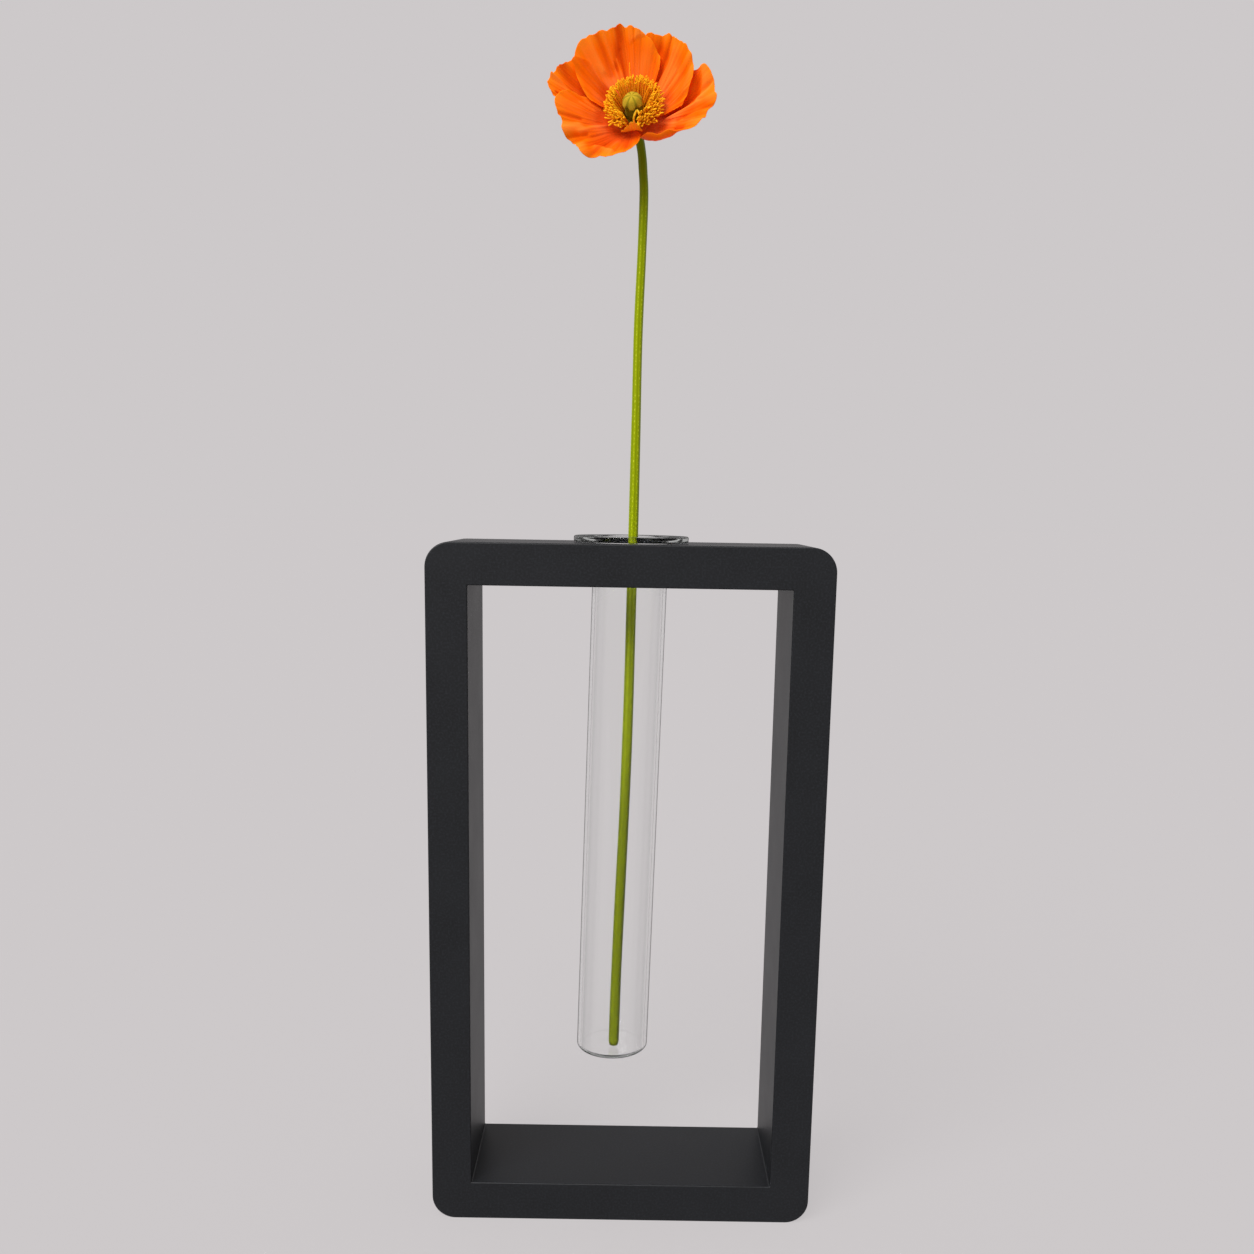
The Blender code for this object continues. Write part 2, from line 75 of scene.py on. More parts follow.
def add_node(tree, kind, inputs=None, **settings):
    """Add a node with its settings, and set each input or link it to a node or socket."""
    made = tree.nodes.new(kind)
    for name, value in settings.items():
        setattr(made, name, value)
    for name, value in (inputs or {}).items():
        if isinstance(value, bpy.types.Node):
            value = next(socket for socket in value.outputs if socket.enabled)
        if isinstance(value, bpy.types.NodeSocket):
            tree.links.new(value, made.inputs[name])
        else:
            made.inputs[name].default_value = value
    return made


def new_material(name):
    """A material and its node tree, which is empty."""
    material = bpy.data.materials.new(name)
    material.use_nodes = True
    material.node_tree.nodes.clear()
    return material, material.node_tree


def show(material, **shaders):
    """End a material's tree in an output that shows these shaders."""
    output = add_node(material.node_tree, "ShaderNodeOutputMaterial", shaders)
    print(material.name, len(output.id_data.nodes), "nodes")


print("#808080 is", round(colour("#808080")[0], 3), "in linear light")

# %% [markdown]
# Meshes come from numpy arrays, because a petal has thousands of points and a loop
# over them would be slow. Modifiers shape some of them, and their result is then
# kept as the mesh itself. Round things are laid out by bearing and reach.

# %% Meshes


def polar(bearing, reach):
    """The two coordinates of a place at a bearing in degrees and a reach."""
    angle = math.radians(bearing)
    return reach * math.cos(angle), reach * math.sin(angle)


def put(name, mesh, material):
    """Show a mesh as a piece with one material."""
    piece = bpy.data.objects.new(name, mesh)
    bpy.context.scene.collection.objects.link(piece)
    mesh.materials.append(material)
    return piece


def modify(piece, kind, **settings):
    """Add a modifier with its settings."""
    modifier = piece.modifiers.new(kind.lower(), kind)
    for name, value in settings.items():
        setattr(modifier, name, value)


def settled(piece):
    """Give a piece the mesh that its modifiers show, and drop the modifiers."""
    bpy.context.view_layer.update()
    shown = piece.evaluated_get(bpy.context.evaluated_depsgraph_get())
    mesh = bpy.data.meshes.new_from_object(shown)
    piece.modifiers.clear()
    piece.data = mesh


def add_uvs(mesh, name, uvs):
    """Give a mesh a UV map that holds one place for each of its points."""
    layer = mesh.uv_layers.new(name=name)
    corners = np.empty(len(mesh.loops), dtype=np.int32)
    mesh.loops.foreach_get("vertex_index", corners)
    layer.data.foreach_set("uv", uvs[corners].astype(np.float32).ravel())


def mesh_from(name, points, faces, uvs):
    """A smooth mesh from arrays of points and faces, with a UV map named flat."""
    mesh = bpy.data.meshes.new(name)
    mesh.from_pydata(points.tolist(), [], faces)
    add_uvs(mesh, "flat", uvs)
    mesh.shade_smooth()
    return mesh


# %% [markdown]
# ## Camera
#
# The viewing angle was worked out from the edges of the frame: the eye is 472 mm in
# front of it, a little above its top, and looks down by 10 degrees. The picture was
# cropped after it was taken, so its middle isn't where the lens pointed, and a small
# vertical shift stands for that crop.

# %% Set the camera
PICTURE = 1254
FOCAL_PIXELS = 1196.1
LENS_CENTRE_LOW = 93
camera_data = bpy.data.cameras.new("camera")
camera_data.sensor_width = 36.0
camera_data.lens = FOCAL_PIXELS / PICTURE * camera_data.sensor_width
camera_data.shift_y = LENS_CENTRE_LOW / PICTURE
camera = bpy.data.objects.new("camera", camera_data)
bpy.context.scene.collection.objects.link(camera)
camera.matrix_world = (
    Matrix.Translation(Vector((-1.3, -472.3, 288.2)) * MM)
    @ Matrix.Rotation(math.radians(-0.10), 4, "Z")
    @ Matrix.Rotation(math.radians(90 - 10.03), 4, "X")
    @ Matrix.Rotation(math.radians(0.948), 4, "Z")
)
bpy.context.scene.camera = camera
bpy.context.scene.view_settings.view_transform = "Standard"
print("lens:", round(camera_data.lens, 2), "mm, shift:", round(camera_data.shift_y, 4))

# %% [markdown]
# ## Light and floor
#
# The object was lit in a pale studio, with light from all round and more from high
# on the left, and it throws hardly a shadow. An even world light gives the first,
# and a wide soft sun the second. The floor is a sheet of white acrylic that also glows
# from below. The glow makes up what its matt surface lacks to be just as bright as the
# world behind it, so no horizon shows and shadows stay faint.

# %% Light the studio and lay the floor
BACKDROP = "#cdc9ca"
ACRYLIC_GREY = 0.07
SUN_FROM = Vector((-0.45, -0.72, 0.80)).normalized()
SUN_SHARE = 1.3
SUN_WIDTH = math.radians(45)

world = bpy.data.worlds.new("studio")
world.use_nodes = True
world.node_tree.nodes["Background"].inputs["Color"].default_value = colour(BACKDROP)
bpy.context.scene.world = world

sun_data = bpy.data.lights.new("soft_sun", "SUN")
sun_data.angle = SUN_WIDTH
sun_data.energy = math.pi * SUN_SHARE
sun = bpy.data.objects.new("soft_sun", sun_data)
bpy.context.scene.collection.objects.link(sun)
sun.rotation_mode = "QUATERNION"
sun.rotation_quaternion = SUN_FROM.to_track_quat("Z", "Y")

acrylic, tree = new_material("glowing_white_acrylic")
brightness = colour(BACKDROP)[1]
sent_back = ACRYLIC_GREY * (brightness + SUN_SHARE * SUN_FROM.z)
tint = [c / brightness for c in colour(BACKDROP)[:3]]
matt = add_node(tree, "ShaderNodeBsdfDiffuse", {
    "Color": (*[ACRYLIC_GREY * c for c in tint], 1.0), "Roughness": 0.0})
glow = add_node(tree, "ShaderNodeEmission", {
    "Color": (*tint, 1.0), "Strength": brightness - sent_back})
sheet = add_node(tree, "ShaderNodeAddShader", {0: matt, 1: glow})
show(acrylic, Surface=sheet)
bpy.ops.mesh.primitive_plane_add(size=40)
floor = bpy.context.object
floor.name = "floor"
floor.data.materials.append(acrylic)
print("sun:", round(sun_data.energy, 2), "W/m2, glow:", round(brightness - sent_back, 3))

# %% [markdown]
# ## The painted frame
#
# Four boards are glued at mitred corners, filled, and sprayed with a matt dark grey
# lacquer, so no joint shows. One seamless piece stands for them. It starts as a flat
# rounded outline with a square window, in four faces that meet at the mitres.

# %% Cut the frame to shape
side_low, side_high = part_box("board_left")
top_low, top_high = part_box("board_top")
FRAME_WIDTH = -2 * side_low.x
FRAME_HEIGHT = top_high.z
FRAME_DEPTH = top_high.y - top_low.y
BOARD = side_high.x - side_low.x
CORNER_RADIUS = 9.5 * MM
CORNER_STEPS = 16
HOLE_RADIUS = 15.5 * MM
HOLE_SIDES = 96
EDGE_EASE = 0.55 * MM


def frame_front():
    """The frame's front as four flat faces that meet at the mitres, seen along +Y."""
    cage = bmesh.new()
    half = Vector((FRAME_WIDTH / 2, FRAME_HEIGHT / 2))
    quarters = ((1, 1), (-1, 1), (-1, -1), (1, -1))
    corners, insides = [], []
    for turn, (x, z) in enumerate(quarters):
        centre = Vector((x * (half.x - CORNER_RADIUS), z * (half.y - CORNER_RADIUS)))
        arc = []
        for i in range(CORNER_STEPS + 1):
            angle = math.radians(90 * (turn + i / CORNER_STEPS))
            spot = centre + CORNER_RADIUS * Vector((math.cos(angle), math.sin(angle)))
            arc.append(cage.verts.new((spot.x, 0, spot.y + half.y)))
        corners.append(arc)
        insides.append(cage.verts.new((x * (half.x - BOARD), 0, z * (half.y - BOARD) + half.y)))
    middle = CORNER_STEPS // 2
    for turn in range(4):
        after = (turn + 1) % 4
        cage.faces.new([insides[turn], *corners[turn][middle:],
                        *corners[after][:middle + 1], insides[after]])
    mesh = bpy.data.meshes.new("painted_frame")
    cage.to_mesh(mesh)
    cage.free()
    return mesh


print("frame:", [round(size / MM, 1) for size in (FRAME_WIDTH, FRAME_DEPTH, FRAME_HEIGHT)], "mm")

# %% [markdown]
# Solidify gives the outline its depth, a Boolean drills it for the tube, and a Bevel
# eases its sharp edges as sandpaper would. Weighted normals keep the flat sides flat
# to the eye.

# %% Make the boards from it
lacquer, tree = new_material("matt_lacquer_on_wood")
painted_frame = put("painted_frame", frame_front(), lacquer)
modify(painted_frame, "SOLIDIFY", thickness=FRAME_DEPTH, offset=0)
bpy.ops.mesh.primitive_cylinder_add(vertices=HOLE_SIDES, radius=HOLE_RADIUS, depth=4 * BOARD,
                                    location=(0, 0, FRAME_HEIGHT))
drill = bpy.context.object
modify(painted_frame, "BOOLEAN", operation="DIFFERENCE", object=drill)
modify(painted_frame, "BEVEL", width=EDGE_EASE, segments=3, limit_method="ANGLE",
       angle_limit=math.radians(40))
modify(painted_frame, "WEIGHTED_NORMAL", keep_sharp=True)
painted_frame.data.shade_smooth()
settled(painted_frame)
bpy.data.objects.remove(drill, do_unlink=True)
print("painted frame:", len(painted_frame.data.polygons), "faces")

# %% [markdown]
# The lacquer is matt, so it spreads the highlights, but like any paint it still
# gleams at a low angle, which is why the top and the inner sides look lighter than
# the front. The spray dries to a fine grain about 0.8 mm across, and the grey is
# never quite even. Noise gives both, one for height and speckles, one for clouds.
# Each coat of colour is mixed over the last where its noise is strong.

# %% Spray the lacquer
SPRAY_GRAIN = 0.8
CLOUDS = 22


def coated(tree, base, coats):
    """Lay colours over a base, each as far as its value goes from its start to its end."""
    for value, start, end, most, code in coats:
        share = add_node(tree, "ShaderNodeMapRange", {
            "Value": value, "From Min": start, "From Max": end, "To Max": most})
        base = add_node(tree, "ShaderNodeMix", {
            0: share, 6: base, 7: colour(code)}, data_type="RGBA")
    return base


place = add_node(tree, "ShaderNodeTexCoord").outputs["Object"]
clouds = add_node(tree, "ShaderNodeTexNoise", {
    "Vector": place, "Scale": 1 / (CLOUDS * MM), "Detail": 4, "Roughness": 0.6})
grain = add_node(tree, "ShaderNodeTexNoise", {
    "Vector": place, "Scale": 1 / (SPRAY_GRAIN * MM), "Detail": 2})
grey = coated(tree, colour("#08090b"), [
    (clouds, 0, 1, 1, "#121417"),
    (grain, 0.45, 0.75, 0.8, "#1c1e22")])
gleam = add_node(tree, "ShaderNodeMapRange", {"Value": clouds, "To Min": 0.42, "To Max": 0.52})
relief = add_node(tree, "ShaderNodeBump", {
    "Height": grain, "Strength": 0.3, "Distance": 0.05 * MM})
paint = add_node(tree, "ShaderNodeBsdfPrincipled", {
    "Base Color": grey, "Roughness": gleam, "IOR": 1.5,
    "Specular IOR Level": 0.24, "Normal": relief})
show(lacquer, Surface=paint)
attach(painted_frame, "root")
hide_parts("board_top", "board_right", "board_bottom", "board_left")

# %% [markdown]
# ## The glass tube
#
# The tube is drawn borosilicate glass, heated and flared at the top into a flat rim
# and closed at the bottom over a shallow punt. All of it is round, so its half
# section is turned about its own axis with a Screw. The rim lies flat on the board,
# but the tube wasn't drawn quite square to it, so each ring of points is then moved
# sideways by how far it lies below the rim.

# %% Turn the tube
TUBE_RADIUS = 14.66 * MM
TUBE_WALL = 1.3 * MM
TUBE_FLOOR = 1.4 * MM
TUBE_BELOW_RIM = 209.4 * MM
TUBE_HEEL = 1.8 * MM
TUBE_PUNT = 0.5 * MM
PUNT_REACH = 0.55 * TUBE_RADIUS
PUNT_STEPS = 8
RIM_RADIUS = 22.4 * MM
RIM_THICKNESS = 2.4 * MM
RIM_ROUND = 0.7 * MM
RIM_FILLET = 0.5 * MM
TUBE_LEAN = math.radians(1.26)
RIM_CLEARANCE = 0.3 * MM
TUBE_SIDES = 96


def arc_points(centre, radius, start, end, steps):
    """Points of a section on an arc between two angles in degrees."""
    arc = [polar(start + (end - start) * i / steps, radius) for i in range(steps + 1)]
    return [(centre[0] + x, centre[1] + z) for x, z in arc]


def tube_section():
    """Half section from the floor inside, over the rim, to the middle underneath."""
    inside = TUBE_RADIUS - TUBE_WALL
    bottom = -TUBE_BELOW_RIM
    heel_inside = TUBE_HEEL - TUBE_WALL
    rim_end = RIM_RADIUS - RIM_ROUND
    punt = []
    for part in range(PUNT_STEPS + 1):
        rise = TUBE_PUNT * math.sin(math.pi / 2 * part / PUNT_STEPS) ** 2
        punt.append((PUNT_REACH * (1 - part / PUNT_STEPS), bottom + rise))
    points = [(reach, height + TUBE_FLOOR) for reach, height in reversed(punt)]
    for centre, radius, start, end, steps in (
            ((inside - heel_inside, bottom + TUBE_FLOOR + heel_inside), heel_inside, -90, 0, 10),
            ((inside + RIM_THICKNESS, 0), RIM_THICKNESS, 180, 90, 10),
            ((rim_end, RIM_THICKNESS - RIM_ROUND), RIM_ROUND, 90, 0, 8),
            ((rim_end, RIM_ROUND), RIM_ROUND, 0, -90, 8),
            ((TUBE_RADIUS + RIM_FILLET, -RIM_FILLET), RIM_FILLET, 90, 180, 4),
            ((TUBE_RADIUS - TUBE_HEEL, bottom + TUBE_HEEL), TUBE_HEEL, 0, -90, 12)):
        points += arc_points(centre, radius, start, end, steps)
    return points + punt


section = bpy.data.meshes.new("clear_tube")
half_section = [(x, 0.0, z) for x, z in tube_section()]
section.from_pydata(half_section, [(i, i + 1) for i in range(len(half_section) - 1)], [])
borosilicate, tree = new_material("borosilicate_glass")
clear_tube = put("clear_tube", section, borosilicate)
modify(clear_tube, "SCREW", steps=TUBE_SIDES, render_steps=TUBE_SIDES,
       use_normal_calculate=True, use_merge_vertices=True, merge_threshold=0.001 * MM)
settled(clear_tube)
cage = bmesh.new()
cage.from_mesh(clear_tube.data)
bmesh.ops.recalc_face_normals(cage, faces=cage.faces)
for vertex in cage.verts:
    vertex.co.x += math.tan(TUBE_LEAN) * vertex.co.z
cage.to_mesh(clear_tube.data)
cage.free()
clear_tube.data.shade_smooth()
clear_tube.location.z = FRAME_HEIGHT + RIM_CLEARANCE
print("clear tube:", len(clear_tube.data.polygons), "faces")

# %% [markdown]
# Clear glass shows only by what it bends and mirrors, and by the faint grey-green
# that it takes from light on a long way through it. Along the tube's sides a ray
# stays in the wall for some 12 mm, which draws the dark lines there. So the glass
# gets a smooth surface, a little absorption inside, and a painted reflection: dark grey
# mixed in where it is seen edge on, which stands for a dark room mirrored there and
# deepens those lines. A path tracer would give it the shadow of something solid, as
# it can't find the light's bent way through, so the tube is kept from throwing any.

# %% Melt the glass
# Painted reflection: dark grey mixed in where the glass is seen edge on
edge_on = add_node(tree, "ShaderNodeLayerWeight", {"Blend": 0.5})
painted_reflection_share = add_node(tree, "ShaderNodeMapRange", {
    "Value": edge_on.outputs["Facing"], "From Min": 0.76, "From Max": 0.94, "To Max": 0.85})
painted_dark_reflection = add_node(tree, "ShaderNodeBsdfDiffuse", {"Color": colour("#2c302e")})
glass = add_node(tree, "ShaderNodeBsdfPrincipled", {
    "Base Color": colour("#ffffff"), "Roughness": 0, "IOR": 1.47,
    "Transmission Weight": 1, "Specular Tint": colour("#8c8c8c")})
soak = add_node(tree, "ShaderNodeVolumeAbsorption", {"Color": colour("#8a9c92"), "Density": 20})
lined = add_node(tree, "ShaderNodeMixShader", {"Fac": painted_reflection_share, 1: glass, 2: painted_dark_reflection})
show(borosilicate, Surface=lined, Volume=soak)
clear_tube.visible_shadow = False
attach(clear_tube, "root")
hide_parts("glass_tube")

# %% [markdown]
# ## Curves and tubes
#
# The stem, every filament and every anther are long round things along a curve. One
# function gives places on a smooth curve through a few chosen points, and one joins
# rows of points with faces. The last sweeps a ring of points along such a curve, and
# carries it from place to place by the smallest turn, so that it never twists.

# %% Sweep a round section along a path


def on_curve(points, part):
    """Places at the given parts, 0 to 1, of the smooth curve through the points."""
    points = np.asarray(points, float)
    padded = np.vstack([2 * points[0] - points[1], points, 2 * points[-1] - points[-2]])
    spans = len(points) - 1
    part = np.atleast_1d(part) * spans
    span = np.minimum(part.astype(int), spans - 1)
    t = (part - span)[:, None]
    p0, p1, p2, p3 = (padded[span + i] for i in range(4))
    return 0.5 * (2 * p1 + (p2 - p0) * t + (2 * p0 - 5 * p1 + 4 * p2 - p3) * t ** 2
                  + (3 * p1 - p0 - 3 * p2 + p3) * t ** 3)


def grid_faces(rows, columns, closed=False):
    """Faces between rows of points, whose last column joins the first if closed."""
    faces = []
    for row in range(rows - 1):
        for column in range(columns if closed else columns - 1):
            here = row * columns + column
            beside = row * columns + (column + 1) % columns
            faces.append((here, beside, beside + columns, here + columns))
    return faces


def swept(path, radii, sides, lobes=0, lobe_depth=0.0):
    """Points, faces and UVs of a closed round bar; V of the UV is millimetres along it."""
    path = [Vector(place) for place in path]
    rings, uvs = [], []
    tangent = (path[1] - path[0]).normalized()
    normal = tangent.orthogonal().normalized()
    length = 0.0
    for i, (place, radius) in enumerate(zip(path, radii)):
        ahead = (path[min(i + 1, len(path) - 1)] - path[max(i - 1, 0)]).normalized()
        normal = tangent.rotation_difference(ahead) @ normal
        tangent = ahead
        across = tangent.cross(normal)
        length += (place - path[max(i - 1, 0)]).length
        for side in range(sides):
            angle = 2 * math.pi * side / sides
            reach = float(radius) * (1 + lobe_depth * math.cos(lobes * angle))
            outward = math.cos(angle) * normal + math.sin(angle) * across
            rings.append(place + reach * outward)
            uvs.append((side / sides, length / MM))
    faces = grid_faces(len(path), sides, closed=True)
    last = (len(path) - 1) * sides
    faces.append(tuple(range(sides - 1, -1, -1)))
    faces.append(tuple(range(last, last + sides)))
    return np.array(rings), faces, np.array(uvs)


def gathered(name, bars):
    """One mesh from several lots of points, faces and UVs."""
    points, faces, uvs, count = [], [], [], 0
    for bar_points, bar_faces, bar_uvs in bars:
        points.append(bar_points)
        uvs.append(bar_uvs)
        faces += [tuple(corner + count for corner in face) for face in bar_faces]
        count += len(bar_points)
    return mesh_from(name, np.vstack(points), faces, np.vstack(uvs))


# %% [markdown]
# ## Where the bloom sits
#
# The bloom is built in its own frame, as a florist would turn it in the hand: Z
# along its axis, millimetres from the middle of the receptacle, and bearings counted
# round from the right. One matrix then tips it forward by 62 degrees and puts it on
# the stem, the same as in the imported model.

# %% Place the bloom's own frame
BLOOM = (
    Matrix.Translation(Vector((-1.05, 5.0, 429.9)) * MM)
    @ Matrix.Rotation(math.radians(-8), 4, "Z")
    @ Matrix.Rotation(math.radians(62), 4, "X")
)


def to_bloom(points):
    """Points of the bloom's own frame, in metres, as points of the whole object."""
    turn = np.array(BLOOM)
    return np.asarray(points) @ turn[:3, :3].T + turn[:3, 3]


print("receptacle at", [round(c / MM, 2) for c in BLOOM.translation], "mm")

# %% [markdown]
# ## The stem
#
# A poppy's stem is leafless, a little ribbed and slightly bent by its own way to the
# light. It stands on the tube's floor, leans on the back of the rim, and arches at
# the neck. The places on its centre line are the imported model's own, and the swept
# ring gets seven low ribs. The receptacle, the swelling that carries the petals, is
# part of the same growth.

# %% Grow the stem
STEM_ROUTE = [
    (-3.9, -3.7, 67.9, 4.15), (-3.3, -2.3, 97, 4.15), (-2.3, -0.6, 129.5, 4.10),
    (-0.9, 1.9, 170.8, 4.05), (0, 4.9, 212, 4.05), (0.5, 8.8, 254, 4.00),
    (0.8, 11.1, 280, 3.95), (1.15, 12.9, 320, 3.65), (1.4, 14, 356, 3.50),
    (2.3, 14.5, 386, 3.45), (2.7, 14.3, 406, 3.40), (2.2, 13.9, 415, 3.35),
    (1.7, 13.3, 420.4, 3.30), (1, 11.9, 424.2, 3.30), (0.15, 9.5, 427.1, 3.35),
]
STEM_SIDES = 42
STEM_RIBS = 7
RIB_DEPTH = 0.022
CUP_RIB_DEPTH = 0.02
STEM_PLACES = 260
STEM_UNEVEN = 0.012
CUT_EASE = 0.82
RECEPTACLE = [
    # depth under the petals and radius, in millimetres
    (3.8, 1.66), (3.1, 1.74), (2.6, 1.98), (2, 2.45), (1.4, 2.95), (0.9, 3.3),
    (0.4, 3.5), (0, 3.55), (-0.35, 3.3)]

neck = to_bloom([(0, 0, -RECEPTACLE[0][0] * MM)])[0]
stations = [(x * MM, y * MM, z * MM, width * MM / 2) for x, y, z, width in STEM_ROUTE]
stations.append((*neck, stations[-1][3]))
stem_places = on_curve(stations, np.linspace(0, 1, STEM_PLACES))
uneven = STEM_UNEVEN * np.sin(np.linspace(0, 60, STEM_PLACES))
stem_radii = stem_places[:, 3] * (1 + uneven)
stem_radii[0] *= CUT_EASE
stem_bar = swept(stem_places[:, :3], stem_radii, STEM_SIDES, STEM_RIBS, RIB_DEPTH)
cup_path = to_bloom([(0, 0, -down * MM) for down, _ in RECEPTACLE])
cup_radii = [radius * MM for _, radius in RECEPTACLE]
cup_bar = swept(cup_path, cup_radii, STEM_SIDES, STEM_RIBS, CUP_RIB_DEPTH)
stem_skin, tree = new_material("poppy_stem_skin")
green_stem = put("green_stem", gathered("green_stem", [stem_bar, cup_bar]), stem_skin)
stem_steps = np.linalg.norm(np.diff(stem_places[:, :3], axis=0), axis=1)
print("stem:", round(float(stem_steps.sum()) / MM), "mm long")

# %% [markdown]
# The skin is a vivid yellow green, thin and waxy. Painted shade darkens it under the
# petals and low in the tube, and painted shade also darkens the grooves between the
# ribs. Fine lines run lengthways in the skin, and pale ticks on the rib crests are the
# feet of tiny hairs painted as a dotted highlight. U of the UV runs once round the
# stem and V is millimetres along it, so a cosine of U finds the ribs and a noise with a
# long grain makes the lines.

# %% Tint the stem
TICK_SPACING = 1.1
flat = add_node(tree, "ShaderNodeUVMap", uv_map="flat")
long_grain = add_node(tree, "ShaderNodeMapping", {"Vector": flat, "Scale": (26, 0.22, 1)})
lines = add_node(tree, "ShaderNodeTexNoise", {"Vector": long_grain, "Scale": 1, "Detail": 3})
tick_grain = add_node(tree, "ShaderNodeMapping", {
    "Vector": flat, "Scale": (2 * STEM_RIBS, 1 / TICK_SPACING, 1)})
ticks = add_node(tree, "ShaderNodeTexNoise", {"Vector": tick_grain, "Scale": 1, "Detail": 1})
parts = add_node(tree, "ShaderNodeSeparateXYZ", {"Vector": flat})
turns = add_node(tree, "ShaderNodeMath", {
    0: parts.outputs["X"], 1: 2 * math.pi * STEM_RIBS}, operation="MULTIPLY")
ribs = add_node(tree, "ShaderNodeMath", {0: turns}, operation="COSINE")
on_ribs = add_node(tree, "ShaderNodeMapRange", {"Value": ribs, "From Min": 0.6, "From Max": 1})
# Pale ticks on the rib crests, a painted highlight
ticked = add_node(tree, "ShaderNodeMapRange", {
    "Value": ticks, "From Min": 0.5, "From Max": 0.62, "To Max": 0.55})
painted_hair_feet_highlight = add_node(tree, "ShaderNodeMath", {0: ticked, 1: on_ribs}, operation="MULTIPLY")
# Painted shade: rib grooves, low in the tube, under the petals. Painted highlight: ticks
green = coated(tree, colour("#6f7c03"), [
    (lines, 0, 1, 1, "#8c9a06"),
    (ribs, 0.1, -1, 0.45, "#545d04"),
    (painted_hair_feet_highlight, 0, 1, 1, "#c4ca3c"),
    (parts.outputs["Y"], 212, 95, 0.95, "#4c5400"),
    (parts.outputs["Y"], 318, 352, 1, "#606c04")])
relief = add_node(tree, "ShaderNodeBump", {
    "Height": lines, "Strength": 0.5, "Distance": 0.08 * MM})
skin = add_node(tree, "ShaderNodeBsdfPrincipled", {
    "Base Color": green, "Roughness": 0.4, "IOR": 1.45,
    "Specular IOR Level": 0.25, "Specular Tint": colour("#e8f060"), "Normal": relief})
show(stem_skin, Surface=skin)
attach(green_stem, "root")
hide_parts("stem")

# %% [markdown]
# ## The petals' shared bowl
#
# Petals open from one bud, so they lie in each other and follow one bowl: a shallow
# cone that steepens outwards, and more so at the back than at the front. Each petal
# keeps to its own layer of that bowl. The folds run out from the centre like the
# pleats of a skirt, and they are in the bowl too, so that petals that overlap fold
# together and never cut through each other.

# %% Shape the bowl and its folds
CLAW_REACH = 3.5 * MM
CLAW_HEIGHT = 0.62 * MM
BASE_SLOPE = math.tan(math.radians(13))
BOWL_START = 8 * MM
BOWL_REACH = 27 * MM
BOWL_POWER = 1.3
BOWL_RISE = np.array([
    (-90, 14), (-60, 16), (-30, 19), (-10, 24), (0, 27), (20, 34), (45, 40), (75, 40.5),
    (100, 39), (125, 35), (150, 31), (165, 27), (185, 26), (200, 26), (211, 20.5),
    (224, 15.5), (236, 12.5), (254, 12.5), (270, 14)])
LAYER_STEP = 1.15 * MM
LAYERS_PART_OVER = 2.4 * MM
FAN_START = 5.0 * MM
FAN_END = 13 * MM
FOLDS = [
    (101, 4, -1.6), (92, 3.5, 0.5), (83, 4, -0.5), (113, 4, -0.8), (131, 5, -0.9),
    (66, 6, -1.8), (52, 4.5, 0.8), (36, 5, -0.4), (26, 3, -0.6), (15, 4, 0.5),
    (4, 4, -0.8), (-6, 3.5, 0.7), (-15, 3, -0.9), (-24, 4, 0.6), (-38, 5, -0.6),
    (153, 4, -0.7), (163, 4, 0.6), (172, 4, -0.6), (187, 5, 0.7), (202, 3, -0.9),
    (210, 3.5, 0.8), (218, 3, -0.9), (229, 4, 0.9), (237, 3, -1), (248, 4.5, 0.8)]
FOLD_START = 7 * MM
FOLD_END = 27 * MM


def eased(x):
    """Ease from 0 to 1 as x does."""
    x = np.clip(x, 0, 1)
    return x * x * (3 - 2 * x)


def bowl_rise(bearing):
    """Angle in degrees from the bowl's centre up to its rim, at bearings in degrees."""
    bearing = (bearing + 90) % 360 - 90
    span = np.searchsorted(BOWL_RISE[:, 0], bearing, side="right") - 1
    span = np.clip(span, 0, len(BOWL_RISE) - 2)
    low, high = BOWL_RISE[span], BOWL_RISE[span + 1]
    part = (bearing - low[..., 0]) / (high[..., 0] - low[..., 0])
    return low[..., 1] + (high[..., 1] - low[..., 1]) * eased(part)


def bowl_height(reach, bearing):
    """Height of the shared bowl over the receptacle."""
    cone = CLAW_HEIGHT + (reach - CLAW_REACH) * BASE_SLOPE
    cone_at_rim = CLAW_HEIGHT + (BOWL_REACH - CLAW_REACH) * BASE_SLOPE
    rim = BOWL_REACH * np.tan(np.radians(bowl_rise(bearing)))
    out = np.maximum(reach - BOWL_START, 0) / (BOWL_REACH - BOWL_START)
    return cone + (rim - cone_at_rim) * out ** BOWL_POWER


def folds_height(reach, bearing):
    """Height of the folds, which grow from nothing near the centre to the margin."""
    total = np.zeros_like(reach)
    for centre, width, height in FOLDS:
        away = (bearing - centre + 180) % 360 - 180
        total += height * MM * np.exp(-(away / width) ** 2)
    return total * eased((reach - FOLD_START) / (FOLD_END - FOLD_START))


print("folds:", len(FOLDS))
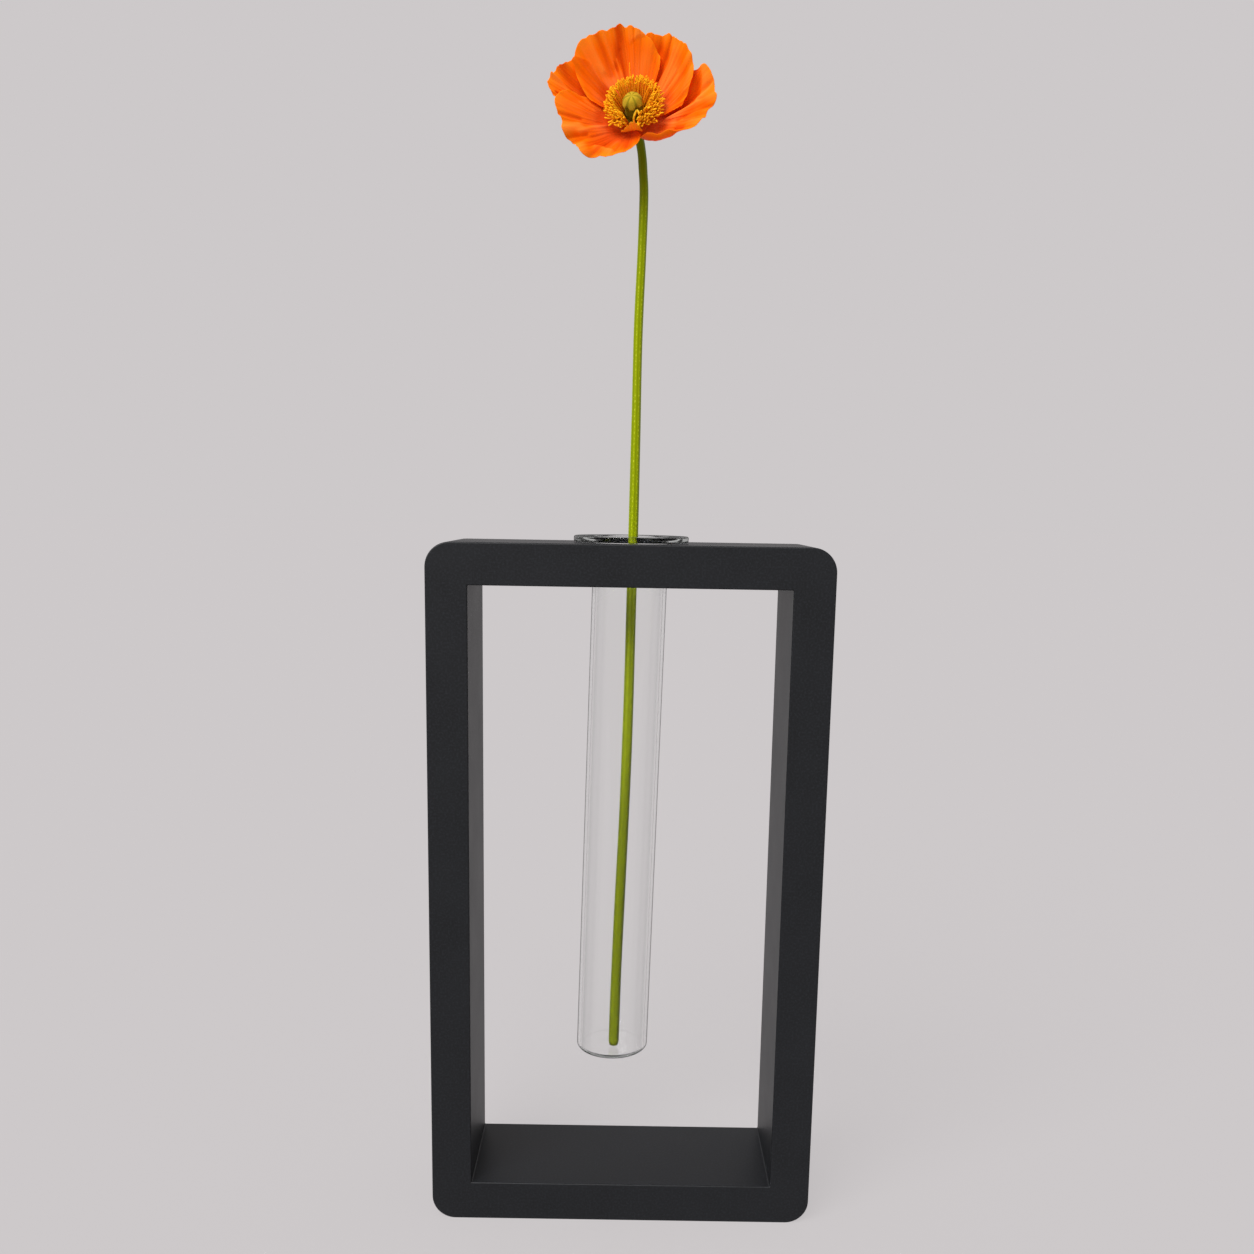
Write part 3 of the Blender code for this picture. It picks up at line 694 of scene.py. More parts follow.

# %% [markdown]
# ## The petals
#
# A petal is a silky sheet about 0.15 mm thick, wide at its waved margin and drawn in
# to a claw where it grows. Each one is a fine grid: across runs over its width, along
# runs from claw to margin. The margin passes through given stations, as
# bearing, reach and lift. Over the imported model's shape come what only a fine mesh
# can show: small pleats, a ruffled edge, creases, and on the right petal a lip, where
# the lower margin is rolled up.

# %% List the petals' margins
PETALS = {
    "petal_back": (1, 104, 32, 3.5, [
        (57, 12.5, 0), (56, 16, 0), (60, 18.6, 0), (70, 20.9, 0), (82, 22.8, -0.4),
        (90, 23.3, 0), (97, 24.5, 0), (102, 25.6, 0), (109, 24.8, 0), (118, 26, 0),
        (128, 26.8, 0), (140, 26.7, 0), (150, 25.2, 0), (159, 21.8, 0), (168, 17, 0),
        (167, 12.5, 0)]),
    "petal_upper_right": (0, 36, 32, 3.5, [
        (4, 10.5, 0.2), (-2, 14.5, 0.6), (2, 18.5, 0.9), (10, 21.2, 1), (18, 23.4, 1),
        (28, 24.6, 0.8), (38, 24.5, 0.6), (48, 24.2, 0.3), (56, 24.1, 0), (67, 24.1, 0),
        (78, 23.2, 0), (86, 20, 0), (90, 13, 0)]),
    "petal_right": (-1, -40, 46, 3.5, [
        (-80, 8.8, 0.2), (-66, 13, 1.6), (-52, 17.2, 2.6), (-39, 20.6, 2),
        (-28, 25.3, 1), (-21, 28, 0), (-14, 28.8, 0), (-9, 31.2, 0), (-3, 30.4, 0),
        (4, 30.3, 0), (12, 28.6, 0), (20, 26.3, 0), (28, 23, 0), (32, 18.5, 0),
        (33, 11.5, 0)]),
    "petal_left_behind": (-1, 165, 25, 3.5, [
        (126, 13, 0), (128, 19, 0), (136, 24.5, 0), (145, 27.3, 0), (153, 28.8, 0),
        (160, 30.2, 0), (167, 31, 0), (173, 31, 0), (178, 29.2, 0), (182, 25, 0),
        (184, 19, 0), (183, 13, 0)]),
    "petal_front_left": (0, 232, 42, 3.5, [
        (166, 12.5, 0), (166, 17.5, 0.2), (170, 20.8, 1.4), (175, 24.2, 2.4),
        (182, 26.3, 2.2), (190, 27.6, 1.4), (197, 27.7, 0.8), (203, 26.8, 0.4),
        (211, 28, 0), (218, 26.6, 0), (225, 26.8, 0), (232, 26.7, 0), (239, 23.2, 0),
        (248, 22.3, 0), (259, 18.9, 0), (272, 14.6, 0), (284, 10.8, 0), (290, 7.8, 0)]),
    "petal_small_front": (1, 273, 24, 6, [
        (248, 6.8, 0.2), (243, 8.8, 0.8), (247, 9.7, 1.8), (252, 9.4, 2.7), (258, 8.9, 3.5),
        (263, 8.6, 4.4), (268, 8.5, 5.2), (273, 8.5, 5.6), (280, 8.6, 5.6), (286, 8.8, 4.5),
        (290, 9, 3), (292, 9.2, 1.7), (295, 8.6, 0.8), (296, 6.8, 0.2)]),
}
LIPS = {
    # bearings where the rolled-up margin begins, is full, fades and ends, and its height
    "petal_right": (-78, -62, -42, -26, 4.6),
}
NO_LIP = (0, 1, 2, 3, 0)
LIP_REACH = 1.1
LIP_LENGTH = 1.6
LIP_BEND = 1.25
print("petals:", len(PETALS))

# %% [markdown]
# ## Creases
#
# The buds of poppies are packed tight, and the petals come out crumpled, with creases
# that never quite leave them. Each one here is a ridge or a hollow along a short
# curve, written as bearing and reach. Its two sides can differ in width, which
# makes a crest that falls off sharply on one side. The same crease also has painted
# shading: a hollow is painted darker as shade, and a crest lighter as light.

# %% List the petals' creases
CREASES = {
    # height, painted shading, width left and right of the line, and places as bearing and reach
    "petal_back": [
        (-0.5, -0.9, 1.4, 1.5, [(114, 17), (109, 20), (105, 23), (106, 26)]),
        (-0.5, -1, 0.5, 0.9, [(107, 13), (107, 17), (107, 20)]),
        (-0.6, -0.6, 1.2, 1.5, [(124, 16), (122, 20), (122, 24), (123, 27)]),
        (0.5, 0.6, 1, 0.9, [(131, 18), (130, 23), (128, 27)]),
        (0.3, 0.5, 1.8, 1.8, [(137, 20), (135, 24), (135, 27)]),
        (0.4, 0.6, 0.9, 0.9, [(116, 19), (117, 23), (117, 26)]),
        (0.5, 0.8, 2.4, 0.3, [(92, 21.2), (85, 22.2), (79, 22.6), (73, 22.6)]),
        (-0.3, -0.7, 1.5, 0.3, [(91, 21.5), (89, 24.5)]),
        (0.3, 0.7, 0.4, 0.4, [(110, 13), (112, 18.5)]),
        (0.3, 0.6, 0.4, 0.4, [(117, 13), (117, 18)]),
        (0.1, 0.45, 3.5, 3.5, [(85, 12), (76, 17)]),
        (0, 0.35, 3, 3, [(122, 12), (130, 16)]),
        (0.2, -0.5, 4, 0.3, [(138, 13), (140, 16), (141, 19), (140, 22), (147, 26)]),
        (0, -0.8, 3, 3, [(158, 11), (146, 13)]),
    ],
    "petal_upper_right": [
        (-0.9, -1, 1.6, 1.8, [(58, 12), (54, 17), (57, 20), (63, 21.5)]),
        (-0.3, -0.6, 1.1, 0.3, [(52, 20), (54, 24)]),
        (0.3, 0.5, 1.3, 1.3, [(60, 21.5), (61, 24)]),
        (0.6, 0.6, 0.4, 2.6, [(53, 14), (48, 18), (48, 21.5)]),
        (0.1, 0.6, 0.5, 0.5, [(40, 13), (37, 19)]),
        (0, 0.5, 3, 3, [(46, 13), (38, 18)]),
        (0.1, 0.5, 0.4, 0.4, [(33, 14), (31, 19)]),
        (-0.1, -0.4, 0.4, 0.4, [(36, 14), (34, 19)]),
        (0.6, 0.35, 1.2, 1.5, [(12, 19), (21, 22.5), (30, 24)]),
        (-0.2, -0.8, 1.8, 1.8, [(28, 13), (20, 13.6)]),
    ],
    "petal_right": [
        (-0.8, -1, 1.8, 1.5, [(6, 12), (3, 18.5), (7, 23), (13, 24.4), (26, 25.4)]),
        (0.5, 0.6, 0.35, 2.2, [(-4, 23.3), (4, 25.2), (11, 26.1), (21, 26.6)]),
        (0, -0.8, 2.5, 2.5, [(-24, 12), (-4, 13)]),
        (0, -0.5, 1.6, 1.6, [(-62, 10), (-44, 14), (-34, 18)]),
        (0, -0.4, 5, 5, [(-60, 12), (-20, 16)]),
        (0.7, 0.9, 0.5, 0.8, [(-7, 12), (-5, 18.5), (-4, 22.5), (1, 26), (5, 30)]),
        (-0.5, -0.6, 1, 0.7, [(-14, 17), (-9, 22), (-9, 26), (-11, 30)]),
        (0.6, 0.4, 1.8, 1.8, [(8, 27.5), (8, 31)]),
        (0.5, 0.4, 1.4, 1.4, [(-6, 27.5), (-6, 31)]),
        (0.6, 0.5, 1.7, 1.7, [(-19, 23.5), (-20, 28)]),
        (-0.9, -1, 0.9, 0.9, [(-25, 18), (-25, 20.5)]),
        (0.3, 0.6, 0.7, 0.7, [(-12, 10), (-17, 15), (-14, 18.5)]),
    ],
    "petal_left_behind": [
        (-0.6, -0.9, 2.4, 2.2, [(163, 19), (160, 25), (156, 29)]),
        (0.6, 0.7, 2, 0.35, [(169, 23), (166, 28), (165, 31)]),
        (-0.9, -1, 0.4, 0.4, [(175, 26), (175, 28)]),
    ],
    "petal_front_left": [
        (0.5, 0.2, 3, 3, [(186, 20), (190, 24), (188, 27)]),
        (-0.5, -0.6, 0.8, 0.8, [(198, 20), (198, 24.5), (198, 28)]),
        (0.9, 0.9, 1.6, 1.6, [(206, 21), (208, 24.5), (209, 28)]),
        (-0.6, -0.6, 0.7, 0.7, [(215, 20), (214, 24.5), (214, 28)]),
        (0.8, 0.5, 1.9, 1.9, [(221, 21), (226, 27)]),
        (0.8, 0.8, 0.35, 2, [(231, 20.2), (236, 18.2), (241, 18.6), (249, 18.6)]),
        (0.5, 0.7, 0.5, 1, [(203, 10), (208, 16.5), (213, 22)]),
        (-0.8, -0.9, 2.2, 2, [(229, 8), (229, 14), (228, 18), (226, 21)]),
        (0.1, 0.7, 0.7, 0.7, [(170, 13), (172, 18)]),
        (0.1, 0.6, 0.6, 0.6, [(178, 15), (178, 19.5)]),
        (-0.2, -0.9, 3, 3, [(180, 11.5), (196, 12)]),
        (0, -0.7, 2, 2, [(204, 10), (226, 10), (246, 11)]),
        (0, -0.45, 6, 6, [(186, 15), (210, 15), (236, 15)]),
        (-0.2, -0.8, 2, 2, [(262, 8), (262, 14)]),
    ],
    "petal_small_front": [
        (0.2, 0.8, 0.35, 0.35, [(268, 7), (268, 9)]),
        (0.2, 0.8, 0.35, 0.35, [(279, 7), (279, 9)]),
    ],
}
CREASE_PLACES = 13


def creased(x, y, creases):
    """Height and painted shading that creases give at places of a petal's plan, in metres."""
    height, painted_shading = np.zeros_like(x), np.zeros_like(x)
    spots = np.stack([x, y], axis=-1)[..., None, :]
    for lift, shade, left, right, places in creases:
        spine = [polar(bearing, reach * MM) for bearing, reach in places]
        line = on_curve(spine, np.linspace(0, 1, CREASE_PLACES))
        start, step = line[:-1], np.diff(line, axis=0)
        part = ((spots - start) * step).sum(-1) / (step ** 2).sum(-1)
        away = spots - start - np.clip(part, 0, 1)[..., None] * step
        distance = np.hypot(away[..., 0], away[..., 1])
        nearest = distance.argmin(axis=-1)[..., None]
        distance = np.take_along_axis(distance, nearest, -1)[..., 0]
        away = np.take_along_axis(away, nearest[..., None], -2)[..., 0, :]
        way = step[nearest[..., 0]]
        side = way[..., 0] * away[..., 1] - way[..., 1] * away[..., 0]
        side /= np.hypot(way[..., 0], way[..., 1]) * distance + 1e-12
        width = MM * ((left + right) / 2 + (left - right) / 2 * side)
        share = np.exp(-(distance / width) ** 2)
        height += lift * MM * share
        painted_shading += shade * share
    return height, painted_shading


print("creases:", sum(len(creases) for creases in CREASES.values()))

# %% [markdown]
# ## Petal by petal
#
# The margin runs smoothly through its stations, and gets a wave for each lobe and a
# little unevenness. Both are sines of unlike lengths with phases drawn from a seed,
# and they die away at the margin's ends, where the petal narrows to its claw.

# %% Wave the margins
FULL_REACH = 25 * MM
SCALLOP_DEPTH = 0.2 * MM
SCALLOPS = 5
EDGE_UNEVEN = 0.12 * MM
EDGE_LENGTHS = (0.11, 0.067, 0.043)


def uneven_waves(where, lengths, seed):
    """A steady sum of sine waves of unlike lengths and phases, between -1 and 1."""
    draw = random.Random(seed)
    total = np.zeros_like(where)
    for length in lengths:
        total += np.sin(2 * math.pi * where / length + draw.uniform(0, 2 * math.pi))
    return total / len(lengths)


def petal_edge(name, across):
    """Bearing, reach, lift and share rolled up, all along a petal's margin."""
    claw_bearing, stations = PETALS[name][1], PETALS[name][-1]
    margin = [(*polar(bearing, reach * MM), lift * MM) for bearing, reach, lift in stations]
    edge = on_curve(margin, across)
    bearing = np.degrees(np.arctan2(edge[:, 1], edge[:, 0]))
    reach = np.hypot(edge[:, 0], edge[:, 1])
    scallop = np.sin(2 * math.pi * SCALLOPS * across + claw_bearing)
    uneven = uneven_waves(across, EDGE_LENGTHS, len(name) + claw_bearing)
    inside = np.sin(math.pi * across) * reach / FULL_REACH
    reach += (SCALLOP_DEPTH * scallop + EDGE_UNEVEN * uneven) * inside
    begins, full, fades, ends, rise = LIPS.get(name, NO_LIP)
    rolled = eased((bearing - begins) / (full - begins)) * eased((ends - bearing) / (ends - fades))
    reach += LIP_REACH * rise * MM * rolled
    return bearing, reach, edge[:, 2], rolled


for petal in PETALS:
    widest = petal_edge(petal, np.linspace(0, 1, 60))[1].max()
    print(petal, "reaches", round(float(widest) / MM, 1), "mm")

# %% [markdown]
# A petal's grid runs across its width in columns and from claw to margin in rows. It
# leaves the claw as a bundle that fans out, follows the bowl in its own layer, and
# gets its pleats, its ruffled edge and its creases on top. Two UV maps go with it:
# one is millimetres on the petal, for the veins, and the other holds the painted
# shading and how far out a point lies, for the sap's colour. The small petal is
# painted lighter, as painted light against the shade it sits in: all of it counts as
# lying far out, and its painted shading is raised.

# %% Lay each petal in the bowl
PLEAT_HEIGHT = 0.22 * MM
PLEAT_LENGTHS = (0.083, 0.061, 0.043, 0.029)
PLEAT_START = 6 * MM
PLEAT_OVER = 12 * MM
PLEAT_PAINTED_SHADING = 0.12
RUFFLE_HEIGHT = 0.7 * MM
RUFFLE_LENGTHS = (0.21, 0.13, 0.083)
FOLD_PAINTED_SHADING = 0.2 / MM
MARGIN_OUT = 0.96
SMALL_PAINTED_LIGHT = 0.35


def petal_surface(name, columns, rows):
    """Points of a petal's middle surface, their UVs in millimetres, and painted shading and out.
    """
    layer, claw_bearing, claw_half, curl_power, _ = PETALS[name]
    seed = len(name) + claw_bearing
    across = np.linspace(0, 1, columns)
    end, edge_reach, edge_lift, rolled = petal_edge(name, across)
    rise = LIPS.get(name, NO_LIP)[-1] * MM
    start = claw_bearing + (2 * across - 1) * claw_half
    turn = (end - start + 180) % 360 - 180
    along = np.linspace(0, 1, rows)[:, None]
    length = CLAW_REACH + (edge_reach - CLAW_REACH) * along
    lip = np.clip(1 - (edge_reach - length) / (LIP_LENGTH * rise + MM), 0, 1)
    reach = length - LIP_BEND * rise * rolled * lip ** 2
    spread = np.clip((reach - FAN_START) / (np.minimum(edge_reach, FAN_END) - FAN_START), 0, 1)
    bearing = start + turn * (1 - (1 - spread) ** 2)
    step = 0.1 * MM
    slope = (bowl_height(reach + step, bearing) - bowl_height(reach - step, bearing)) / (2 * step)
    folds = folds_height(reach, bearing)
    height = bowl_height(reach, bearing) + folds
    apart = eased((reach - CLAW_REACH) / LAYERS_PART_OVER)
    height += layer * LAYER_STEP * np.hypot(1, slope) * apart
    height += edge_lift * along ** curl_power * (1 - rolled) + rise * rolled * lip ** 1.2
    width = np.broadcast_to(across, reach.shape)
    pleats = uneven_waves(width, PLEAT_LENGTHS, seed + 1)
    height += PLEAT_HEIGHT * pleats * eased((reach - PLEAT_START) / PLEAT_OVER)
    ruffle = uneven_waves(width, RUFFLE_LENGTHS, seed + 2)
    height += RUFFLE_HEIGHT * ruffle * along ** 6
    angle = np.radians(bearing)
    x, y = reach * np.cos(angle), reach * np.sin(angle)
    lift, painted_shading = creased(x, y, CREASES[name])
    points = np.stack([x, y, height + lift], axis=-1)
    arc = np.radians(np.abs(turn).mean() + 2 * claw_half) * edge_reach.mean()
    flat = np.stack([width * arc / MM + seed, length / MM], axis=-1)
    # The small petal is painted lighter all over, painted light against the shade it sits in
    small = edge_reach.max() < FULL_REACH / 2
    # Folds and pleats add painted shading: darker in hollows, lighter on ridges
    painted_shading = painted_shading + FOLD_PAINTED_SHADING * folds + PLEAT_PAINTED_SHADING * pleats + (SMALL_PAINTED_LIGHT if small else 0)
    painted_shading = np.clip(painted_shading, -1, 1)
    out = np.ones_like(along) if small else MARGIN_OUT * along
    lay = np.stack([0.5 + 0.5 * painted_shading, np.broadcast_to(out, reach.shape)], axis=-1)
    return points.reshape(-1, 3), flat.reshape(-1, 2), lay.reshape(-1, 2)


# %% [markdown]
# The grid has no thickness yet, and light would pass it as if it were nothing.
# Solidify makes it a thin closed sheet, half to each side. The small petal needs
# fewer rows and columns than the rest for the same fineness.

# %% Make the petals
PETAL_THICKNESS = 0.18 * MM
GRIDS = {"petal_small_front": (90, 70)}
GRID = (210, 100)


def petal_piece(name, columns, rows, material):
    """One petal as a thin closed sheet in its place on the bloom."""
    points, flat, lay = petal_surface(name, columns, rows)
    mesh = mesh_from("silk_" + name, to_bloom(points), grid_faces(rows, columns), flat)
    add_uvs(mesh, "lay", lay)
    piece = put("silk_" + name, mesh, material)
    modify(piece, "SOLIDIFY", thickness=PETAL_THICKNESS, offset=0)
    settled(piece)
    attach(piece, "root")
    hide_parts(name)
    return piece


petal_tissue, tree = new_material("poppy_petal_tissue")
for petal in PETALS:
    made = petal_piece(petal, *GRIDS.get(petal, GRID), petal_tissue)
    print(made.name, len(made.data.polygons), "faces")

# %% [markdown]
# Petal tissue is a few cells thick and full of orange sap. It scatters some of the
# light back, lets some through, and its ridged cells give it the soft gleam of silk.
# At the claw it is painted a deeper orange, as shade under the stamens. Round the
# stamens it is a paler salmon, partly a painted sheen highlight, then a full orange,
# and the margin is thin and more yellow. The small front petal takes that yellow all
# over, as painted light. Veins half a millimetre apart run out from the claw, paler
# than the rest and clearest near the middle, where the paleness is partly a painted
# sheen highlight too.

# %% Colour the petals
VEIN_SPACING = 0.55
VEIN_LENGTH = 9
# Colours from claw to margin: the first is painted shade at the claw, the salmon partly a painted
# sheen highlight
SAP_WITH_PAINTED_LIGHT = ((0.10, "#ea661c"), (0.33, "#ff883e"), (0.54, "#fe7610"), (0.81, "#fe7604"),
       (0.96, "#ff9010"), (1.00, "#ffbc14"))
flat = add_node(tree, "ShaderNodeUVMap", uv_map="flat")
lay = add_node(tree, "ShaderNodeUVMap", uv_map="lay")
state = add_node(tree, "ShaderNodeSeparateXYZ", {"Vector": lay})
painted_shading, out = state.outputs["X"], state.outputs["Y"]
vein_grain = add_node(tree, "ShaderNodeMapping", {
    "Vector": flat, "Scale": (1 / VEIN_SPACING, 1 / VEIN_LENGTH, 1)})
veins = add_node(tree, "ShaderNodeTexNoise", {
    "Vector": vein_grain, "Scale": 1, "Detail": 3, "Roughness": 0.55})
sap = add_node(tree, "ShaderNodeValToRGB", {"Fac": out})
while len(sap.color_ramp.elements) < len(SAP_WITH_PAINTED_LIGHT):
    sap.color_ramp.elements.new(0.5)
for element, (position, code) in zip(sap.color_ramp.elements, SAP_WITH_PAINTED_LIGHT):
    element.position = position
    element.color = colour(code)
near_middle = add_node(tree, "ShaderNodeMapRange", {
    "Value": out, "From Min": 0.75, "From Max": 0.35, "To Min": 0.12, "To Max": 0.5})
on_veins = add_node(tree, "ShaderNodeMapRange", {
    "Value": veins, "From Min": 0.45, "From Max": 0.72})
pale = add_node(tree, "ShaderNodeMath", {0: near_middle, 1: on_veins}, operation="MULTIPLY")
# Painted shading: hollows go deeper orange as shade and crests lighter as light
orange = coated(tree, sap, [
    (pale, 0, 1, 1, "#ff9a5c"),
    (painted_shading, 0.5, 0, 0.85, "#dc4604"),
    (painted_shading, 0.5, 1, 0.6, "#ffa040")])
relief = add_node(tree, "ShaderNodeBump", {
    "Height": veins, "Strength": 0.45, "Distance": 0.12 * MM})
silk = add_node(tree, "ShaderNodeBsdfPrincipled", {
    "Base Color": orange, "Roughness": 0.5, "IOR": 1.4,
    "Specular IOR Level": 0.1, "Specular Tint": colour("#ff8a30"),
    "Sheen Weight": 0.03, "Sheen Roughness": 0.4, "Sheen Tint": colour("#ff9040"),
    "Normal": relief})
glow = add_node(tree, "ShaderNodeBsdfTranslucent", {"Color": orange, "Normal": relief})
tissue = add_node(tree, "ShaderNodeMixShader", {"Fac": 0.36, 1: silk, 2: glow})
show(petal_tissue, Surface=tissue)

# %% [markdown]
# ## The stamens
#
# Some three hundred stamens stand in a dense cup. Each is a thread-like filament that
# rises, bends outwards and carries an anther, a golden pod with a groove down its
# middle that curls as it dries. A rule places them ring by ring, with longer threads
# at the back and larger anthers at the front, and a seeded draw makes no two alike.
# The thread and the anther are both swept bars, and all of a kind join one mesh.

# %% Grow the stamens
STAMEN_RINGS = [
    # root radius, tip radius, tip height, in millimetres, and number in the ring
    (2.90, 9.6, 6.4, 76),
    (2.85, 9.1, 7.3, 78),
    (2.75, 8.6, 8.1, 76),
    (2.65, 8.1, 8.8, 72),
    (2.55, 7.2, 9.4, 60),
]
STAMEN_GAP = (247, 293)
STAMEN_SKEW = (0.01, 0.2)
STAMEN_LENGTHEN = 0.12
STAMEN_BEND = [(0, 0.05), (0.2, 0.24), (0.52, 0.58), (0.84, 0.88), (1, 1)]
THREAD_PLACES = 9
THREAD_RADIUS = 0.17
THREAD_SWAY = 0.9
THREAD_BOW = 0.25
ANTHER_LENGTH = 2.7
ANTHER_RADIUS = 0.27
ANTHER_TILT = 0.5
ANTHER_CURL = 0.55
ANTHER_TWIST = 0.35
ANTHER_FRONT = 0.25
ANTHER_LENGTHS = (0.75, 1.2)
ANTHER_SWELLS = (0.8, 1.2)
ANTHER_GROOVES = 2
ANTHER_GROOVE_DEPTH = 0.22
ANTHER_SHAPE = [(0, 0.45), (0.1, 0.85), (0.28, 1.05), (0.45, 0.85), (0.62, 1.1), (0.8, 0.9),
                (0.93, 0.75), (1, 0.3)]


def stamen(draw, degrees, root, tip, height):
    """The thread and the anther of one stamen."""
    bearing = math.radians(degrees)
    outward = np.array((*polar(degrees, 1), 0))
    sideways = np.array((-outward[1], outward[0], 0))
    upward = np.array((0, 0, 1))
    sway = draw.uniform(-THREAD_SWAY, THREAD_SWAY)
    bow = draw.uniform(-THREAD_BOW, THREAD_BOW)
    stations = [outward * (root + (tip - root) * out)
                + sideways * (sway * out ** 2 + bow * math.sin(math.pi * out))
                + upward * height * up for out, up in STAMEN_BEND]
    places = on_curve(stations, np.linspace(0, 1, THREAD_PLACES))
    thread = swept(to_bloom(places * MM), [THREAD_RADIUS * MM] * THREAD_PLACES, 6)
    heading = places[-1] - places[-2]
    heading /= np.linalg.norm(heading)
    heading += (draw.uniform(-ANTHER_TILT, ANTHER_TILT) * sideways
                + draw.uniform(-ANTHER_TILT, 1.4 * ANTHER_TILT) * upward)
    heading /= np.linalg.norm(heading)
    grown = 1 - ANTHER_FRONT * math.sin(bearing)
    length = ANTHER_LENGTH * grown * draw.uniform(*ANTHER_LENGTHS)
    start = places[-1] - 0.3 * length * heading
    curl = draw.uniform(-ANTHER_CURL, ANTHER_CURL) * sideways
    twist = draw.uniform(-ANTHER_TWIST, ANTHER_TWIST) * (sideways + upward)
    path = [start + heading * length * part + curl * math.sin(math.pi * part)
            + twist * math.sin(2 * math.pi * part) for part, _ in ANTHER_SHAPE]
    radius = ANTHER_RADIUS * grown * MM
    radii = [radius * size * draw.uniform(*ANTHER_SWELLS) for _, size in ANTHER_SHAPE]
    anther = swept(to_bloom(np.array(path) * MM), radii, 10, ANTHER_GROOVES, ANTHER_GROOVE_DEPTH)
    return thread, anther


# %% [markdown]
# The rings are planted from the outermost inwards. The cup is a little deeper and
# wider at the back. At the front there is a gap, where the small petal pushes in.

# %% Plant the rings
RING_TURN = 0.37
STRAY_SIDEWAYS = 0.45
STRAY_OUT = 0.6
STRAY_UP = 0.7
draw = random.Random(11)
threads, anthers = [], []
for ring, (root, tip, height, count) in enumerate(STAMEN_RINGS):
    for i in range(count):
        stray = draw.uniform(-STRAY_SIDEWAYS, STRAY_SIDEWAYS)
        degrees = (i + ring * RING_TURN + stray) * 360 / count
        bearing = math.radians(degrees)
        skew = 1 + STAMEN_SKEW[0] * math.cos(bearing) + STAMEN_SKEW[1] * math.sin(bearing)
        reach = (tip + draw.uniform(-STRAY_OUT, STRAY_OUT)) * skew
        up = height * (1 + STAMEN_LENGTHEN * math.sin(bearing))
        up += draw.uniform(-STRAY_UP, STRAY_UP)
        if STAMEN_GAP[0] < degrees % 360 < STAMEN_GAP[1]:
            continue
        thread, anther = stamen(draw, degrees, root, reach, up)
        threads.append(thread)
        anthers.append(anther)
print("stamens:", len(anthers))

# %% [markdown]
# Two stamens stand out. One at the back is much longer than the rest and has lost its
# anther, and one in the front gap is bent over into a small bright yellow arch.

# %% Add the tall stamen and the arch
TALL = [(-0.9, 2.6, 0.6), (-1.4, 5.6, 4), (-1.7, 9.6, 7.6), (-1.9, 13.2, 10.4), (-2, 15.4, 12.2)]
ARCH = [(0.2, -3, 1.5), (0.35, -4.3, 4.9), (0.75, -4.2, 7.1), (1.75, -3.1, 8.6),
        (2.8, -4.1, 7.1), (2.9, -4.3, 4.9), (1.8, -2.9, 1.5)]
TALL_RADIUS = 0.19 * MM
ARCH_RADIUS = 0.42 * MM
tall_places = on_curve(TALL, np.linspace(0, 1, 30)) * MM
threads.append(swept(to_bloom(tall_places), [TALL_RADIUS] * 30, 8))
arch_places = on_curve(ARCH, np.linspace(0, 1, 48)) * MM
arch = swept(to_bloom(arch_places), [ARCH_RADIUS] * 48, 12, 2, 0.12)
print("the arch is", round(float(np.ptp(arch_places[:, 2])) / MM, 1), "mm high")

# %% [markdown]
# All the threads spring from a narrow ring under the pistil. It holds them together
# as one piece, and hides their cut ends. The threads, the anthers and the arch each
# get a mesh of their own, since they are three materials.

# %% Plant the ring they grow from
COLLAR = [(0.35, 2.55), (0.5, 2.9), (1.0, 2.95), (1.3, 2.6)]
collar_path = to_bloom([(0, 0, up * MM) for up, _ in COLLAR])
collar = swept(collar_path, [radius * MM for _, radius in COLLAR], 48)
filament_flesh, filament_tree = new_material("stamen_filament")
filaments = put("filaments", gathered("filaments", threads + [collar]), filament_flesh)
pollen_coat, pollen_tree = new_material("pollen_covered_anther")
anther_heads = put("anthers", gathered("anthers", anthers), pollen_coat)
waxy_yellow, arch_tree = new_material("waxy_yellow_arch")
bent_arch = put("bent_arch", gathered("bent_arch", [arch]), waxy_yellow)
for piece in (filaments, anther_heads, bent_arch):
    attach(piece, "root")
    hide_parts("stamens")
    print(piece.name, len(piece.data.polygons), "faces")

# %% [markdown]
# The threads are clear yellow flesh, olive at the foot, where it is painted darker as
# shade deep in the cup, and golden above. The anthers are split open and dusted with
# pollen, grains of some 0.03 mm that make them matt and crumbly. Grains that small
# wouldn't show, so the dust is drawn 0.2 mm coarse.

# %% Dust the stamens
flat = add_node(filament_tree, "ShaderNodeUVMap", uv_map="flat")
parts = add_node(filament_tree, "ShaderNodeSeparateXYZ", {"Vector": flat})
# Painted shade: dark olive at the foot of each thread, deep in the cup
gold_over_foot_shade = coated(filament_tree, colour("#5c4a08"), [(parts.outputs["Y"], 1.5, 6, 1, "#ee9414")])
flesh = add_node(filament_tree, "ShaderNodeBsdfPrincipled", {
    "Base Color": gold_over_foot_shade, "Roughness": 0.45, "IOR": 1.4,
    "Specular IOR Level": 0.25, "Specular Tint": colour("#ffc040"),
    "Subsurface Weight": 0.2, "Subsurface Scale": 0.3 * MM,
    "Subsurface Radius": (1, 0.7, 0.2)})
show(filament_flesh, Surface=flesh)

